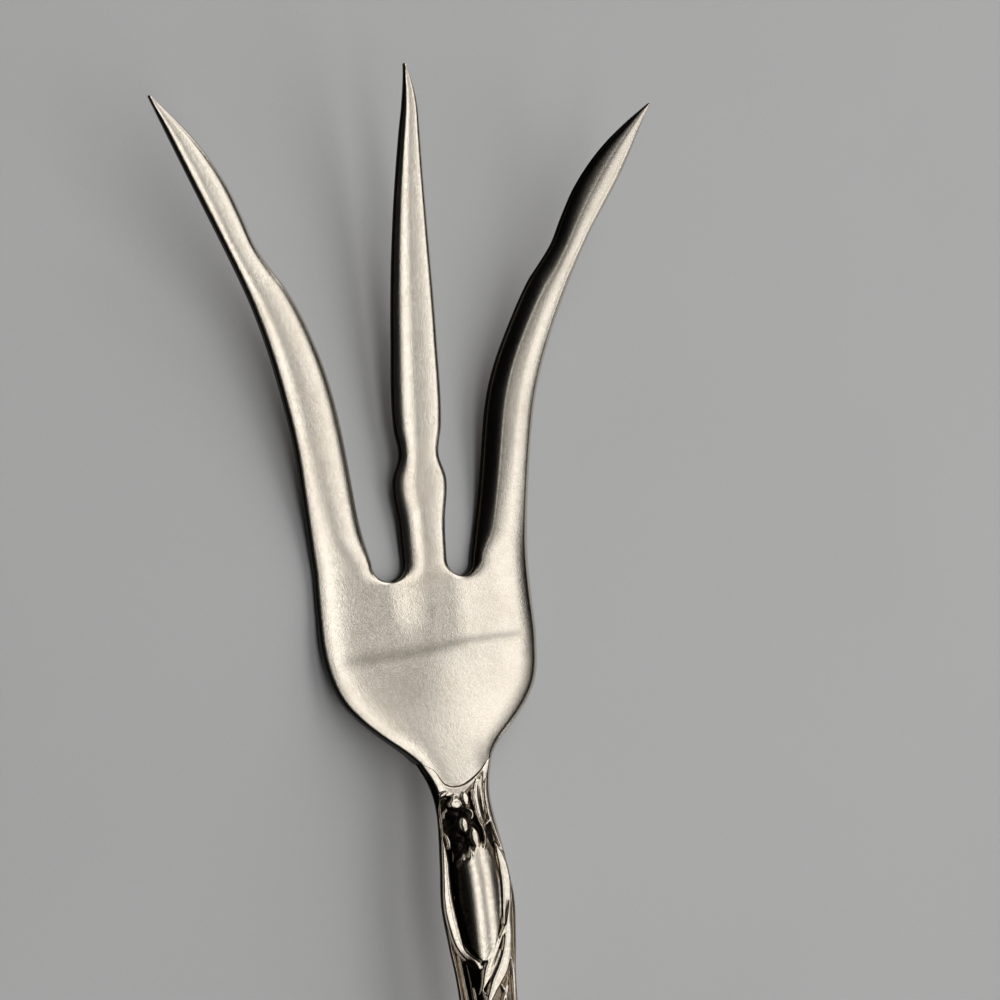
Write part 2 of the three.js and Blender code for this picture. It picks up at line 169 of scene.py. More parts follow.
def smooth_through(stations, fair=False):
    """A function through [place, value] stations: cubic pieces, with an even bend where it is fair."""
    place, value = np.array(stations, float).T
    step = np.diff(place)
    secant = np.diff(value) / step
    slope = np.concatenate([secant[:1], (secant[1:] + secant[:-1]) / 2, secant[-1:]])
    if fair:
        count = len(place)
        matrix = np.zeros((count, count))
        target = np.zeros(count)
        matrix[0, :2] = 2, 1
        target[0] = 3 * secant[0]
        matrix[-1, -2:] = 1, 2
        target[-1] = 3 * secant[-1]
        for i in range(1, count - 1):
            matrix[i, i - 1 : i + 2] = 1 / step[i - 1], 2 / step[i - 1] + 2 / step[i], 1 / step[i]
            target[i] = 3 * (secant[i - 1] / step[i - 1] + secant[i] / step[i])
        slope = np.linalg.solve(matrix, target)

    def at(where):
        where = np.clip(where, place[0], place[-1])
        k = np.clip(np.searchsorted(place, where, side="right") - 1, 0, len(step) - 1)
        t = (where - place[k]) / step[k]
        begin = (1 + 2 * t) * (1 - t) ** 2 * value[k] + t * (1 - t) ** 2 * step[k] * slope[k]
        end = t * t * (3 - 2 * t) * value[k + 1] + t * t * (t - 1) * step[k] * slope[k + 1]
        return begin + end

    return at


def ease(value, low, high):
    """A soft step from 0 at low to 1 at high."""
    t = np.clip((value - low) / (high - low), 0, 1)
    return t * t * (3 - 2 * t)


def soft_ramp(value, width):
    """0 below 0, value above, with a rounded start."""
    return np.where(value > width, value - width / 2, np.clip(value, 0, None) ** 2 / (2 * width))


def curve_through(points, steps=CURVE_STEPS):
    """A smooth broken line through given points."""
    points = np.array(points, float)
    padded = np.vstack([2 * points[0] - points[1], points, 2 * points[-1] - points[-2]])
    t = np.linspace(0, 1, steps, endpoint=False)[:, None]
    pieces = []
    for p0, p1, p2, p3 in zip(padded, padded[1:], padded[2:], padded[3:]):
        bend = (2 * p0 - 5 * p1 + 4 * p2 - p3) * t**2 + (3 * (p1 - p2) + p3 - p0) * t**3
        pieces.append(p1 + 0.5 * ((p2 - p0) * t + bend))
    return np.vstack(pieces + [points[-1:]])


def nearest(line, x, y):
    """Distance from each place to a broken line, and the share of the line's length there."""
    start = line[:-1]
    run = np.diff(line, axis=0)
    reach = np.maximum(1e-12, (run**2).sum(1))
    px = x[:, None] - start[:, 0]
    py = y[:, None] - start[:, 1]
    along = np.clip((px * run[:, 0] + py * run[:, 1]) / reach, 0, 1)
    away = np.hypot(px - along * run[:, 0], py - along * run[:, 1])
    best = away.argmin(1)
    rows = np.arange(len(x))
    step = np.sqrt(reach)
    passed = np.concatenate([[0], np.cumsum(step)])
    share = (passed[best] + along[rows, best] * step[best]) / passed[-1]
    return away[rows, best], share


def shares_along(line):
    """Share of a broken line's length at each of its points."""
    passed = np.concatenate([[0], np.cumsum(np.hypot(*np.diff(line, axis=0).T))])
    return passed / passed[-1]


def blend(first, second, weight):
    """The first value where the weight is 0, the second where it is 1."""
    return first + (second - first) * weight


def rolled(distance, width, drop):
    """How far a face has dropped at a distance from its rounded edge."""
    inward = np.clip(1 - distance / width, 0, 1)
    return drop * (1 - np.sqrt(1 - inward**2))


def falling(stations):
    """Fall of a face towards its edge, from its slope at [distance, slope] stations."""
    place, slope = np.array(stations, float).T
    fine = np.linspace(0, place[-1], 160)
    steep = np.interp(fine, place, slope)
    gained = np.concatenate([[0], np.cumsum((steep[1:] + steep[:-1]) / 2 * np.diff(fine))])

    def at(away, scale=1.0):
        return scale * np.interp(away / scale, fine, gained[-1] - gained)

    return at


def spread(first, last, steps):
    """Places from first to last, closest together at first."""
    turn = np.linspace(0, math.pi / 2, steps + 1)
    return first + (last - first) * (1 - np.cos(turn))


def four_sided(numbers):
    """The faces that fill a grid of point numbers."""
    corners = [numbers[:-1, :-1], numbers[:-1, 1:], numbers[1:, 1:], numbers[1:, :-1]]
    return np.stack(corners, -1).reshape(-1, 4)


class Sheets:
    """Points and faces of one piece, gathered sheet by sheet."""

    def __init__(self):
        self.points = []
        self.faces = []
        self.count = 0

    def add(self, points):
        """Adds points of shape (..., 3) and returns their numbers in the same shape."""
        numbers = np.arange(self.count, self.count + points[..., 0].size).reshape(points.shape[:-1])
        self.points.append(points.reshape(-1, 3))
        self.count += numbers.size
        return numbers

    def grid(self, numbers, flip=False):
        """Fills a grid of point numbers with four-sided faces."""
        quads = four_sided(numbers)
        self.faces += (quads[:, ::-1] if flip else quads).tolist()

    def bridge(self, first, second):
        """Joins two lines of point numbers, which may differ in count, with triangles."""
        i = j = 0
        a, b = len(first) - 1, len(second) - 1
        while i < a or j < b:
            if j == b or (i < a and (i + 1) * b <= (j + 1) * a):
                self.faces.append([int(first[i]), int(first[i + 1]), int(second[j])])
                i += 1
            else:
                self.faces.append([int(first[i]), int(second[j + 1]), int(second[j])])
                j += 1

    def all_points(self):
        """The points of all sheets, in the order of their numbers."""
        return np.vstack(self.points)


def settings():
    """The settings of the open scene."""
    return bpy.context.scene.fork_settings


def heel_place():
    """Where the heel lies in the frame, in millimetres along Y."""
    head = millimetres(settings().head)
    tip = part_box("fork_head")[1].y / MM
    return tip - head.palm_length - head.outer_tine_length - head.middle_tine_lead


def make_piece(name, sheets, material, nodes, marks):
    """Makes a mesh object of the gathered sheets with its marks, and hangs it in the frame."""
    points = sheets.all_points() + (0, heel_place(), 0)
    mesh = bpy.data.meshes.new(name)
    mesh.from_pydata((points * MM).tolist(), [], sheets.faces)
    mesh.polygons.foreach_set("use_smooth", np.ones(len(mesh.polygons), bool))
    for mark, values in marks.items():
        attribute = mesh.attributes.new(mark, "FLOAT", "POINT")
        attribute.data.foreach_set("value", np.asarray(values, np.float32))
    mesh.validate()
    mesh.update()
    mesh.materials.append(material)
    piece = bpy.data.objects.new(name, mesh)
    bpy.context.scene.collection.objects.link(piece)
    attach(piece, "root")
    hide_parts(*nodes)


class Profile:
    """Side profile and thickness of the fork over its length, in millimetres above the table."""

    REST_FLAT = 0.45
    BELLY_FLAT = 0.1

    def __init__(self, head, handle):
        self.tip = head.palm_length + head.outer_tine_length + head.middle_tine_lead
        self.end = -handle.length
        palm = head.palm_length
        tine = self.tip - palm
        self.middle = smooth_through(
            [
                [self.end, 2.9],
                [self.end * 0.9, handle.terminal_depth / 2 - self.REST_FLAT],
                [self.end * 0.42, 8.85],
                [self.end * 0.17, 8.85],
                [self.end * 0.06, 8.1],
                [palm * 0.2, 4.4],
                [palm * 0.85, head.palm_thickness / 2 - self.BELLY_FLAT],
                [palm + tine * 0.23, 2.7],
                [palm + tine * 0.6, 6.45],
                [self.tip, 13.5],
            ],
            fair=True,
        )
        self.head_thickness = smooth_through(
            [
                [0, head.heel_thickness],
                [palm * 0.16, head.heel_thickness * 0.87],
                [palm * 0.62, head.palm_thickness * 1.1],
                [palm * 0.85, head.palm_thickness],
                [palm + tine * 0.3, head.palm_thickness],
                [palm + tine * 0.7, head.palm_thickness * 0.85],
                [self.tip, head.tip_thickness],
            ],
            fair=True,
        )
        self.handle_depth = smooth_through(
            [
                [self.end, handle.end_depth],
                [self.end * 0.97, handle.terminal_depth * 0.8],
                [self.end * 0.88, handle.terminal_depth],
                [self.end * 0.4, handle.stem_depth],
                [0, handle.neck_depth],
                [4, handle.neck_depth],
            ]
        )


class HeelJoint:
    """The round tongue of the head that closes the mouth of the handle, seen from above."""

    def __init__(self, head):
        end = head.heel_half_width
        self.half_width = end
        self.edge = 3.0
        left = [[-end, self.edge], [-3.6, 2.42], [-3.05, 1.95], [-2.72, 1.3], [-2.4, 0.66]]
        bottom = [[-1.93, 0.29], [-1.37, 0.11], [-0.77, 0.09], [0, 0.24], [0.8, 0.58]]
        right = [[1.65, 1.04], [2.37, 1.51], [2.86, 1.95], [3.5, 2.42], [end, self.edge]]
        self.line = smooth_through(left + bottom + right)

    @staticmethod
    def open_part(x):
        """1 where the joint shows as a groove, 0 towards its flush ends."""
        return ease(x, -3.0, -2.6) * (1 - ease(x, 2.8, 3.8))

    def rolled_lip(self, x, distance):
        """Drop of the rounded lips on both sides of the joint."""
        part = self.open_part(x)
        return rolled(distance, 0.02 + 0.18 * part, 0.002 + 0.11 * part)

    def grime(self, x, distance):
        """Tarnish in the joint."""
        return 0.62 * self.open_part(x) * np.clip(1.25 - distance / 0.16, 0, 1)


# How far the edges of the right tine are bent towards +X, over the length of the tine
BENT_INSIDE = smooth_through(
    [[0, 0], [0.2, 0], [0.37, -0.3], [0.56, 0.2], [0.68, 0], [0.85, 0], [1, 0.5]]
)
BENT_OUTSIDE = smooth_through(
    [[0, 0], [0.2, 0], [0.37, -0.28], [0.47, -0.2], [0.58, 0], [0.71, 0.25], [0.85, 1.05], [1, 0.5]]
)


class HeadPlan:
    """The head seen from above: one palm and three tines."""

    # Distances from the inner edge of an outer tine at which its slope has points
    INSIDE_PLACES = np.array(
        [0, 0.015, 0.06, 0.13, 0.23, 0.35, 0.5, 0.7, 0.95, 1.2, 1.45, 1.64, 1.72, 1.8, 1.95, 2.2, 2.6]
    )
    WIDEST_ROLL = 1.6

    def __init__(self, head, joint):
        self.head = head
        self.joint = joint
        self.middle_length = head.outer_tine_length + head.middle_tine_lead
        self.tip = head.palm_length + self.middle_length
        self.palm_fill = smooth_through(
            [[0, 0], [0.05, 0.12], [0.155, 0.43], [0.245, 0.66]]
            + [[0.345, 0.84], [0.55, 0.976], [0.78, 0.995], [1, 1]]
        )
        self.splay = smooth_through(
            [[0, 0], [0.1, 0.012], [0.27, 0.065], [0.43, 0.18], [0.62, 0.4], [0.79, 0.66], [1, 1]],
            fair=True,
        )
        shaft, notch, blade = head.outer_shaft_width, head.outer_notch_width, head.outer_blade_width
        self.outer_width = smooth_through(
            [
                [0, head.outer_root_width],
                [0.1, shaft * 1.08],
                [0.22, shaft],
                [0.48, shaft],
                [0.62, shaft * 0.87],
                [0.66, notch * 1.12],
                [0.7, notch],
                [0.76, blade * 0.97],
                [0.83, blade],
                [0.91, blade * 0.78],
                [0.96, blade * 0.45],
                [1, head.tip_width],
            ]
        )
        root, shaft = head.middle_root_half, head.middle_shaft_half
        self.middle_half = smooth_through(
            [
                [0, root],
                [0.08, root * 1.06],
                [0.17, head.middle_knop_half],
                [0.222, head.middle_waist_half],
                [0.28, shaft * 0.96],
                [0.34, shaft],
                [0.45, shaft * 0.93],
                [0.62, shaft * 0.8],
                [0.79, shaft * 0.6],
                [0.93, shaft * 0.33],
                [1, head.tip_width / 2],
            ]
        )

    def palm_edge(self, share):
        """Half-width and place of the palm's edge, from the heel to the roots."""
        heel = self.joint.half_width
        half = heel + (self.head.palm_half_width - heel) * self.palm_fill(share)
        return half, self.joint.edge + (self.head.palm_length - self.joint.edge) * share

    def outer_edge(self, share):
        """Place of an outer tine's outer edge beside the centre line, from root to tip."""
        root = self.head.palm_half_width
        return root + (self.head.tip_half_spread - root) * self.splay(share)

    def outer_tine(self, share):
        """Rows of the outer tine on the +X side, from its inner to its outer edge."""
        head = self.head
        width = self.outer_width(share)
        inside = self.inside_scale(share)[:, None] * self.INSIDE_PLACES
        outer_roll = np.minimum(self.WIDEST_ROLL, width * 0.35)
        offsets = np.array([self.across(*row) for row in zip(width, inside, outer_roll)])
        x = (self.outer_edge(share) - width)[:, None] + offsets
        y = np.broadcast_to((head.palm_length + head.outer_tine_length * share)[:, None], x.shape)
        return np.stack([x, y], -1)

    def middle_tine(self, share):
        """Rows of the middle tine before its tip is bent."""
        half = self.middle_half(share)
        roll = np.minimum(self.WIDEST_ROLL, half * 0.7)
        x = np.array([self.across(2 * h, spread(0, r, 16), r) - h for h, r in zip(half, roll)])
        y = np.broadcast_to((self.head.palm_length + self.middle_length * share)[:, None], x.shape)
        return np.stack([x, y], -1)

    @staticmethod
    def across(width, first, last_roll):
        """Places across a tine: first those given, then closer together towards its last edge."""
        flat = np.linspace(first[-1], width - last_roll, 10)[1:-1]
        return np.concatenate([first, flat, spread(width, width - last_roll, 10)[::-1]])

    def inside_scale(self, share):
        """Size of the slope on the inner side of an outer tine, smaller towards the slot and the tip."""
        reach = np.clip(self.outer_width(share) / (0.8 * self.head.outer_shaft_width), 0.05, 1)
        return reach * (0.6 + 0.4 * ease(share, 0, 0.07))

    def tip_curl(self, y):
        """How far the metal is bent towards -X near the tip of the middle tine."""
        bent = self.middle_length * 0.1
        return self.head.middle_tip_curl * np.clip((y - self.tip + bent) / bent, 0, None) ** 2

    def swell(self, x, y):
        """How far the metal stands towards +X of the even plan, as a share of the side swell."""
        head = self.head
        palm = head.palm_length
        share = np.clip((y - palm) / head.outer_tine_length, 0, 1)
        outer = self.outer_edge(share)
        inner = outer - self.outer_width(share)
        half = self.middle_half(np.clip((y - palm) / self.middle_length, 0, 1))
        # On the tines the swell grows from each left edge to the right one, and falls again in the slots
        on_tines = np.select(
            [x < -inner, x < -half, x < half, x < inner],
            [
                0.3 * (x + outer) / (outer - inner),
                0.3 * (-half - x) / (inner - half),
                0.9 * (x + half) / (2 * half),
                0.9 * (inner - x) / (inner - half),
            ],
            (x - inner) / (outer - inner),
        )
        on_palm = np.clip(x / head.palm_half_width, 0, 1) * ease(y, 2, 9)
        swelling = blend(on_palm, on_tines, ease(y, palm * 0.55, palm)) * (1 - ease(share, 0.5, 0.95))
        left = np.clip(-x / head.palm_half_width, 0, 1) ** 2 * (y <= palm)
        left = left * ease(y, 1, 8) * (0.35 - 0.25 * ease(y, palm * 0.6, palm))
        bow = np.clip((-inner - x) / self.outer_width(share), 0, 1) * (y > palm)
        bow = 0.7 * bow * ease(share, -0.08, 0.2) * (1 - ease(share, 0.32, 0.62))
        across = np.clip((x - inner) / np.maximum(1e-6, outer - inner), 0, 1)
        bent = blend(BENT_INSIDE(share), BENT_OUTSIDE(share), across)
        bent = bent / head.side_swell * (x > head.palm_half_width / 2) * (y > palm)
        return swelling - bow - left + bent

    def slot(self, steps=28):
        """The round bottom of the slot on the +X side, from the middle tine to the outer one."""
        inner, outer = self.head.middle_root_half, self.head.palm_half_width - self.head.outer_root_width
        angle = np.linspace(math.pi, 2 * math.pi, steps + 1)
        radius = (outer - inner) / 2
        y = self.head.palm_length + radius * np.sin(angle)
        y[[0, -1]] = self.head.palm_length
        return np.stack([(inner + outer) / 2 + radius * np.cos(angle), y], -1)


def mirrored(rows):
    """Rows reflected to the other side of the centre line."""
    return rows[..., ::-1, :] * (-1, 1)


def stitched(patches):
    """Joins plan patches that share points: the points, and the faces as point numbers."""
    points = np.vstack([patch.reshape(-1, 2) for patch in patches])
    keys = np.round(points * 1e4).astype(np.int64)
    _, kept, found = np.unique(keys, axis=0, return_index=True, return_inverse=True)
    found = found.ravel()
    faces, passed = [], 0
    for patch in patches:
        numbers = found[passed : passed + patch[..., 0].size].reshape(patch.shape[:-1])
        passed += numbers.size
        faces.append(four_sided(numbers))
    return points[kept], np.vstack(faces)


def outline_edges(faces, count):
    """Directed edges that only one face has."""
    edges = np.vstack([faces[:, [i, (i + 1) % 4]] for i in range(4)])
    there = edges[:, 0] * count + edges[:, 1]
    back = edges[:, 1] * count + edges[:, 0]
    return edges[~np.isin(there, back)]


class HandlePlan:
    """The handle seen from above."""

    def __init__(self, handle, joint):
        self.joint = joint
        self.gap = handle.joint_gap
        self.mouth = joint.edge - self.gap
        end = -handle.length
        panel_y, panel_half = -12.9, 6.4
        panel, stem = handle.panel_half_width, handle.stem_half_width
        terminal = handle.terminal_half_width
        self.outline = curve_through(
            [
                [joint.half_width - 0.02, self.mouth],
                [handle.mouth_half_width, 0.3],
                [handle.neck_half_width, -2.8],
                [panel * 0.9, panel_y + panel_half * 0.7],
                [panel, panel_y],
                [panel * 0.91, panel_y - panel_half * 0.7],
                [stem * 1.08, panel_y - panel_half * 1.7],
                [stem, end * 0.34],
                [stem * 1.25, end * 0.54],
                [terminal * 0.72, end * 0.75],
                [terminal, end * 0.9],
                [terminal * 0.72, end * 0.966],
                [terminal * 0.3, end * 0.994],
                [0, end],
            ],
            steps=24,
        )
        self.axis = smooth_through(
            [[end, 0], [-55, 0], [-35, -0.08], [-22, -0.12], [-17, -0.16]]
            + [[-12, -0.18], [-8, -0.14], [-3, -0.07], [3, 0]]
        )

    def edge_below_heel(self):
        """The edge of the handle on the +X side, from its neck up to the joint."""
        return self.outline[self.outline[:, 1] > -9][::-1]

    def half_width(self, y):
        """Half-width of the handle at any place along it."""
        return np.interp(-y, -self.outline[:, 1], self.outline[:, 0])

    def rows(self, y, across):
        """Plan points for edge places y and shares across; the first rows follow the tongue."""
        half = np.maximum(self.half_width(y), 0.02)
        x = self.axis(y)[:, None] + half[:, None] * across
        reach = np.clip(1 - (self.mouth - y) / 7, 0, 1)[:, None] ** 2
        heel_x = across * self.joint.half_width
        drop = (self.joint.edge - self.joint.line(heel_x)) * reach
        closed = 0.8 * self.gap * (1 - self.joint.open_part(heel_x)) * reach
        return x, y[:, None] - drop + closed


# Slopes of the head's face at distances from its edges
PALM_LEFT = falling([[0, 0.26], [0.5, 0.22], [1.5, 0.1], [2.3, 0.055], [3.5, 0.02], [5, 0]])
PALM_RIGHT = falling(
    [[0, 0.85], [0.6, 0.85], [0.68, 0.33], [1, 0.24], [1.5, 0.18], [2.1, 0.12], [2.9, 0.06], [5, 0]]
)
LEFT_TINE_OUTSIDE = falling([[0, 0.24], [0.5, 0.2], [1.0, 0.08], [1.6, 0]])
LEFT_TINE_INSIDE = falling([[0, 0.6], [0.6, 0.42], [1.1, 0.25], [1.6, 0.14], [2.6, 0.075], [3.8, 0]])
MIDDLE_LEFT = falling(
    [[0, 0.62], [0.75, 0.42], [1.0, 0.25], [1.25, 0.2], [1.8, 0.11], [2.2, 0.06], [2.65, 0]]
)
MIDDLE_RIGHT = falling([[0, 0.26], [0.3, 0.16], [1.0, 0.07], [1.6, 0.03], [2.4, 0]])
RIGHT_TINE_INSIDE = falling(
    [[0, 0.9], [1.2, 0.52], [1.64, 0.38], [1.72, 0.22], [1.8, 0.07], [2.4, 0.04], [3.4, 0]]
)
RIGHT_TINE_OUTSIDE = falling([[0, 0.85], [0.5, 0.85], [0.58, 0.3], [0.9, 0.2], [1.7, 0.08], [2.3, 0]])
# Slopes across the palm below its crease, from its left edge to its right one
LOWER_PALM = falling(
    [[0, -0.01], [5, -0.02], [8.5, -0.025], [11, -0.015], [12.5, 0], [15.5, 0.038], [26, 0.045]]
)
OUTER_ROLL = 0.5
TINE_ROWS = 120
PALM_ROWS = 60
CREASE = [[-11, 15.2], [-4, 15.4], [1, 15.9], [4, 16.3], [11, 16.5]]
CREASE_DEPTH = 0.03
TIP_THINNING = 0.35
THIN_TIP_LENGTH = 8
LEAST_EDGE = 0.3
LEAST_TIP = 0.12
TANG_TOP = 1.2
TANG_NOTCHES = 3
NOTCH_START = 16.0
NOTCH_PITCH = 7.0
NOTCH_HALF = 0.45
NOTCH_DEPTH = 0.3


def palm_edge_fall(head, x, away, half):
    """How far the face of the palm has fallen at a distance from its edge, where it is half wide."""
    scale = np.clip(half / 5.6, 0.3, 1)
    slope = np.where(x < 0, PALM_LEFT(away, scale), PALM_RIGHT(away, scale))
    return rolled(away, OUTER_ROLL * head.edge_roll, OUTER_ROLL * head.edge_drop) + slope


def palm_shape(x, y):
    """How far the palm's face lies under a flat one, with a rib below the middle tine."""
    above = ease(y, 14.4, 17.2)
    upper = above * (1 - ease(y, 24, 36))
    lower = (1 - above) * ease(y, 3.4, 9)
    rib = ease(x, -5.2, 0.4) * ease(y, 13.5, 21) * (1 - ease(y, 26, 38))
    crown = LOWER_PALM(np.array([12.5])) - LOWER_PALM(x + 13)
    return 0.055 * upper * soft_ramp(x - 2.4, 2.0) + lower * crown - 0.3 * rib


def add_tang(sheets, head, profile):
    """The notched tang that is bedded in the handle."""
    notches = NOTCH_START + NOTCH_PITCH * np.arange(TANG_NOTCHES)
    corners = [-notches - step * NOTCH_HALF for step in range(3)]
    y = np.unique(np.concatenate([np.linspace(TANG_TOP, -head.tang_length, 60), *corners]))
    share = (TANG_TOP - y) / (TANG_TOP + head.tang_length)
    half = blend(head.tang_half_width, head.tang_end_half_width, share)
    for notch in notches:
        half = half - NOTCH_DEPTH * np.clip(1 - np.abs(y + notch + NOTCH_HALF) / NOTCH_HALF, 0, 1)
    rise = head.tang_thickness / 2
    middle = profile.middle(y)
    sides = [(-1, -1), (1, -1), (1, 1), (-1, 1)]
    numbers = sheets.add(np.stack([np.stack([a * half, y, middle + b * rise], -1) for a, b in sides], 1))
    sheets.grid(np.concatenate([numbers, numbers[:, :1]], 1), flip=True)
    sheets.faces += [numbers[0].tolist(), numbers[-1, ::-1].tolist()]


def palm_crease(x, y):
    """1 along the crease across the palm, 0 away from it."""
    away, _ = nearest(curve_through(CREASE), x, y)
    reach = np.interp(x, [-11, -2, 4, 11], [0.95, 0.8, 0.5, 0.45])
    return np.exp(-((away / reach) ** 2)) * (1 - ease(np.abs(x), 9.5, 12))


def palm_shade_patches(x, y):
    """Painted shade on the palm: a darker patch on its left below the crease, and one on the right of the
    heel.
    """
    left = np.exp(-(((x + 4.2) / 4.5) ** 2) - ((y - 11.8) / 3.4) ** 2) * (1 - ease(y, 14.6, 16.4))
    heel = np.exp(-(((x - 3.2) / 1.5) ** 2) - ((y - 2) / 2.8) ** 2)
    return np.maximum(0.5 * left, 1.7 * heel)


def inner_slope_shade(away):
    """Painted shade on the right tine's inner slope, at a distance from its edge."""
    return np.interp(away, [0, 1.2, 1.64, 1.85, 2.3, 3, 3.6], [2.2, 2.2, 1.9, 1.5, 0.8, 0.3, 0])


def right_edge_shade(x, away, above):
    """Painted shade along the right edge of the head, at a distance from it and a height above the roots.
    """
    band = np.interp(away, [0, 0.5, 0.65, 0.8, 1.2, 1.8, 2.4], [0, 0.2, 1.5, 1.8, 1.1, 0.4, 0])
    return band * (x > 0) * (1 - 0.6 * ease(above, -4, 6)) * (1 - ease(above, 15, 30))


class StruckHead:
    """Points of the head seen from above, with their distances from its edges."""

    def __init__(self, head, handle):
        self.head = head
        self.profile = Profile(head, handle)
        self.joint = HeelJoint(head)
        self.plan = HeadPlan(head, self.joint)
        self.share = np.linspace(0, 1, TINE_ROWS + 1)
        self.outer = self.plan.outer_tine(self.share)
        self.middle = self.plan.middle_tine(self.share)
        self.slot = self.plan.slot()
        self.palm_share = np.concatenate(
            [
                spread(0, 0.03, 6)[:-1],
                np.linspace(0.03, 0.88, PALM_ROWS),
                (1 - spread(0, 0.12, 20))[::-1][1:],
            ]
        )
        points, self.faces = stitched([self.palm_grid(), self.middle, self.outer, mirrored(self.outer)])
        self.x, self.y = points.T
        self.above = self.y - head.palm_length
        tip = self.profile.tip
        own_tip = tip - head.middle_tine_lead * (np.abs(self.x) > 8)
        thinning = TIP_THINNING * ease(self.y, tip - THIN_TIP_LENGTH, own_tip)
        self.thickness = self.profile.head_thickness(self.y) - thinning
        self.measure_inner_edge()
        self.measure_outer_edge(HandlePlan(handle, self.joint).edge_below_heel())
        heel_x = np.linspace(-self.joint.half_width, self.joint.half_width, 121)
        heel_line = np.stack([heel_x, self.joint.line(heel_x)], -1)
        self.heel_away, _ = nearest(heel_line, self.x, self.y)
        self.side_away = np.minimum(self.outer_away, self.inner_away)

    def palm_grid(self):
        """Rows of the palm, from the tongue at the heel to the roots of the tines."""
        palm, joint = self.head.palm_length, self.joint
        half_root = np.vstack([self.slot, self.outer[0, 1:]])
        root = np.vstack([mirrored(half_root), self.middle[0, 1:-1], half_root])
        x = root[:, 0] / self.head.palm_half_width
        rows = []
        for share in self.palm_share:
            half, edge_y = self.plan.palm_edge(share)
            tongue = max(0, 1 - (edge_y - joint.edge) / (palm * 0.4)) ** 2
            sag = max(0, 1 - (palm - edge_y) / (palm * 0.5)) ** 2
            drop = (joint.edge - joint.line(x * joint.half_width)) * tongue
            rows.append(np.stack([x * half, edge_y - drop + (root[:, 1] - palm) * sag], -1))
        return np.array(rows)

    def from_edge(self, line, *values):
        """Distance of every point from an edge, and there the values that are set along it."""
        away, along = nearest(line, np.abs(self.x), self.y)
        return away, *(np.interp(along, shares_along(line), value) for value in values)

    def tine_roll(self):
        """Width of the edge's rounding along an outer tine."""
        return np.minimum(self.head.edge_roll, self.plan.outer_width(self.share) * 0.25)

    def measure_inner_edge(self):
        """Measures from the edge that runs down the middle tine, round the slot and up the outer tine."""
        head, plan, slot = self.head, self.plan, self.slot
        half = plan.middle_half(self.share[::-1])
        middle_scale = np.clip(half / head.middle_shaft_half, 0.05, 1)
        turn = np.linspace(0, 1, len(slot) - 2)
        slot_scale = np.where(
            turn < 0.5,
            blend(middle_scale[-1], 0.25, ease(turn, 0, 0.5)),
            blend(0.25, 0.6, ease(turn, 0.5, 1)),
        )

        def round_slot(on_middle, on_outer):
            """Values along the edge that pass from one tine's to the other's in the slot."""
            across = blend(on_middle[-1], on_outer[0], ease(turn, 0.4, 0.6))
            return np.concatenate([on_middle, across, on_outer])

        self.inner_away, self.on_outer, self.inner_scale, self.inner_roll = self.from_edge(
            np.vstack([self.middle[::-1, -1], slot[1:-1], self.outer[:, 0]]),
            round_slot(np.zeros(len(half)), np.ones(len(self.share))),
            np.concatenate([middle_scale, slot_scale, plan.inside_scale(self.share)]),
            round_slot(np.minimum(head.edge_roll, half * 0.5), self.tine_roll()),
        )

    def measure_outer_edge(self, below_heel):
        """Measures from the edge that runs up the neck, the palm and the outside of the outer tine."""
        head = self.head
        palm_half, palm_y = self.plan.palm_edge(self.palm_share)
        palm = np.vstack([below_heel, np.stack([palm_half, palm_y], -1)])
        tine_share = self.share[1:]
        scale = np.clip(self.plan.outer_width(tine_share) / head.outer_shaft_width, 0.05, 1)
        self.outer_away, self.on_tine, self.palm_width, self.tine_scale, self.outer_roll = self.from_edge(
            np.vstack([palm, self.outer[1:, -1]]),
            np.concatenate([np.zeros(len(palm)), ease(tine_share, 0, 0.3)]),
            np.concatenate([palm[:, 0], np.full(len(tine_share), head.palm_half_width)]),
            np.concatenate([np.ones(len(palm)), scale]),
            np.concatenate([np.full(len(palm), head.edge_roll), self.tine_roll()[1:]]),
        )

    def by_side(self, left, right, away, scale):
        """One slope on the left of the head and another on its right."""
        return np.where(self.x < 0, left(away, scale), right(away, scale))

    def drop(self):
        """How far the face lies under the plain thickness."""
        edge_drop = np.minimum(self.head.edge_drop, self.thickness * 0.4)
        inner = self.inner_away, self.inner_scale
        inner_slope = blend(
            self.by_side(MIDDLE_LEFT, MIDDLE_RIGHT, *inner),
            self.by_side(LEFT_TINE_INSIDE, RIGHT_TINE_INSIDE, *inner),
            self.on_outer,
        )
        inner_drop = rolled(self.inner_away, self.inner_roll, edge_drop) + inner_slope
        tine_slope = self.by_side(LEFT_TINE_OUTSIDE, RIGHT_TINE_OUTSIDE, self.outer_away, self.tine_scale)
        tine_edge = rolled(self.outer_away, OUTER_ROLL * self.outer_roll, OUTER_ROLL * edge_drop)
        palm_drop = palm_edge_fall(self.head, self.x, self.outer_away, self.palm_width)
        outer_drop = blend(palm_drop, tine_edge + tine_slope, self.on_tine)
        drop = np.maximum(inner_drop + outer_drop, self.joint.rolled_lip(self.x, self.heel_away))
        return np.minimum(drop, self.thickness - LEAST_EDGE) + palm_shape(self.x, self.y)

    def back_drop(self):
        """Rounding of the back edges, wider on the left of the palm and the tines."""
        roll = np.where(self.x < 0, 1 + ease(self.y, 1.5, 7), 1) * self.head.back_roll
        return rolled(self.side_away, roll, np.minimum(roll, self.thickness * 0.4))

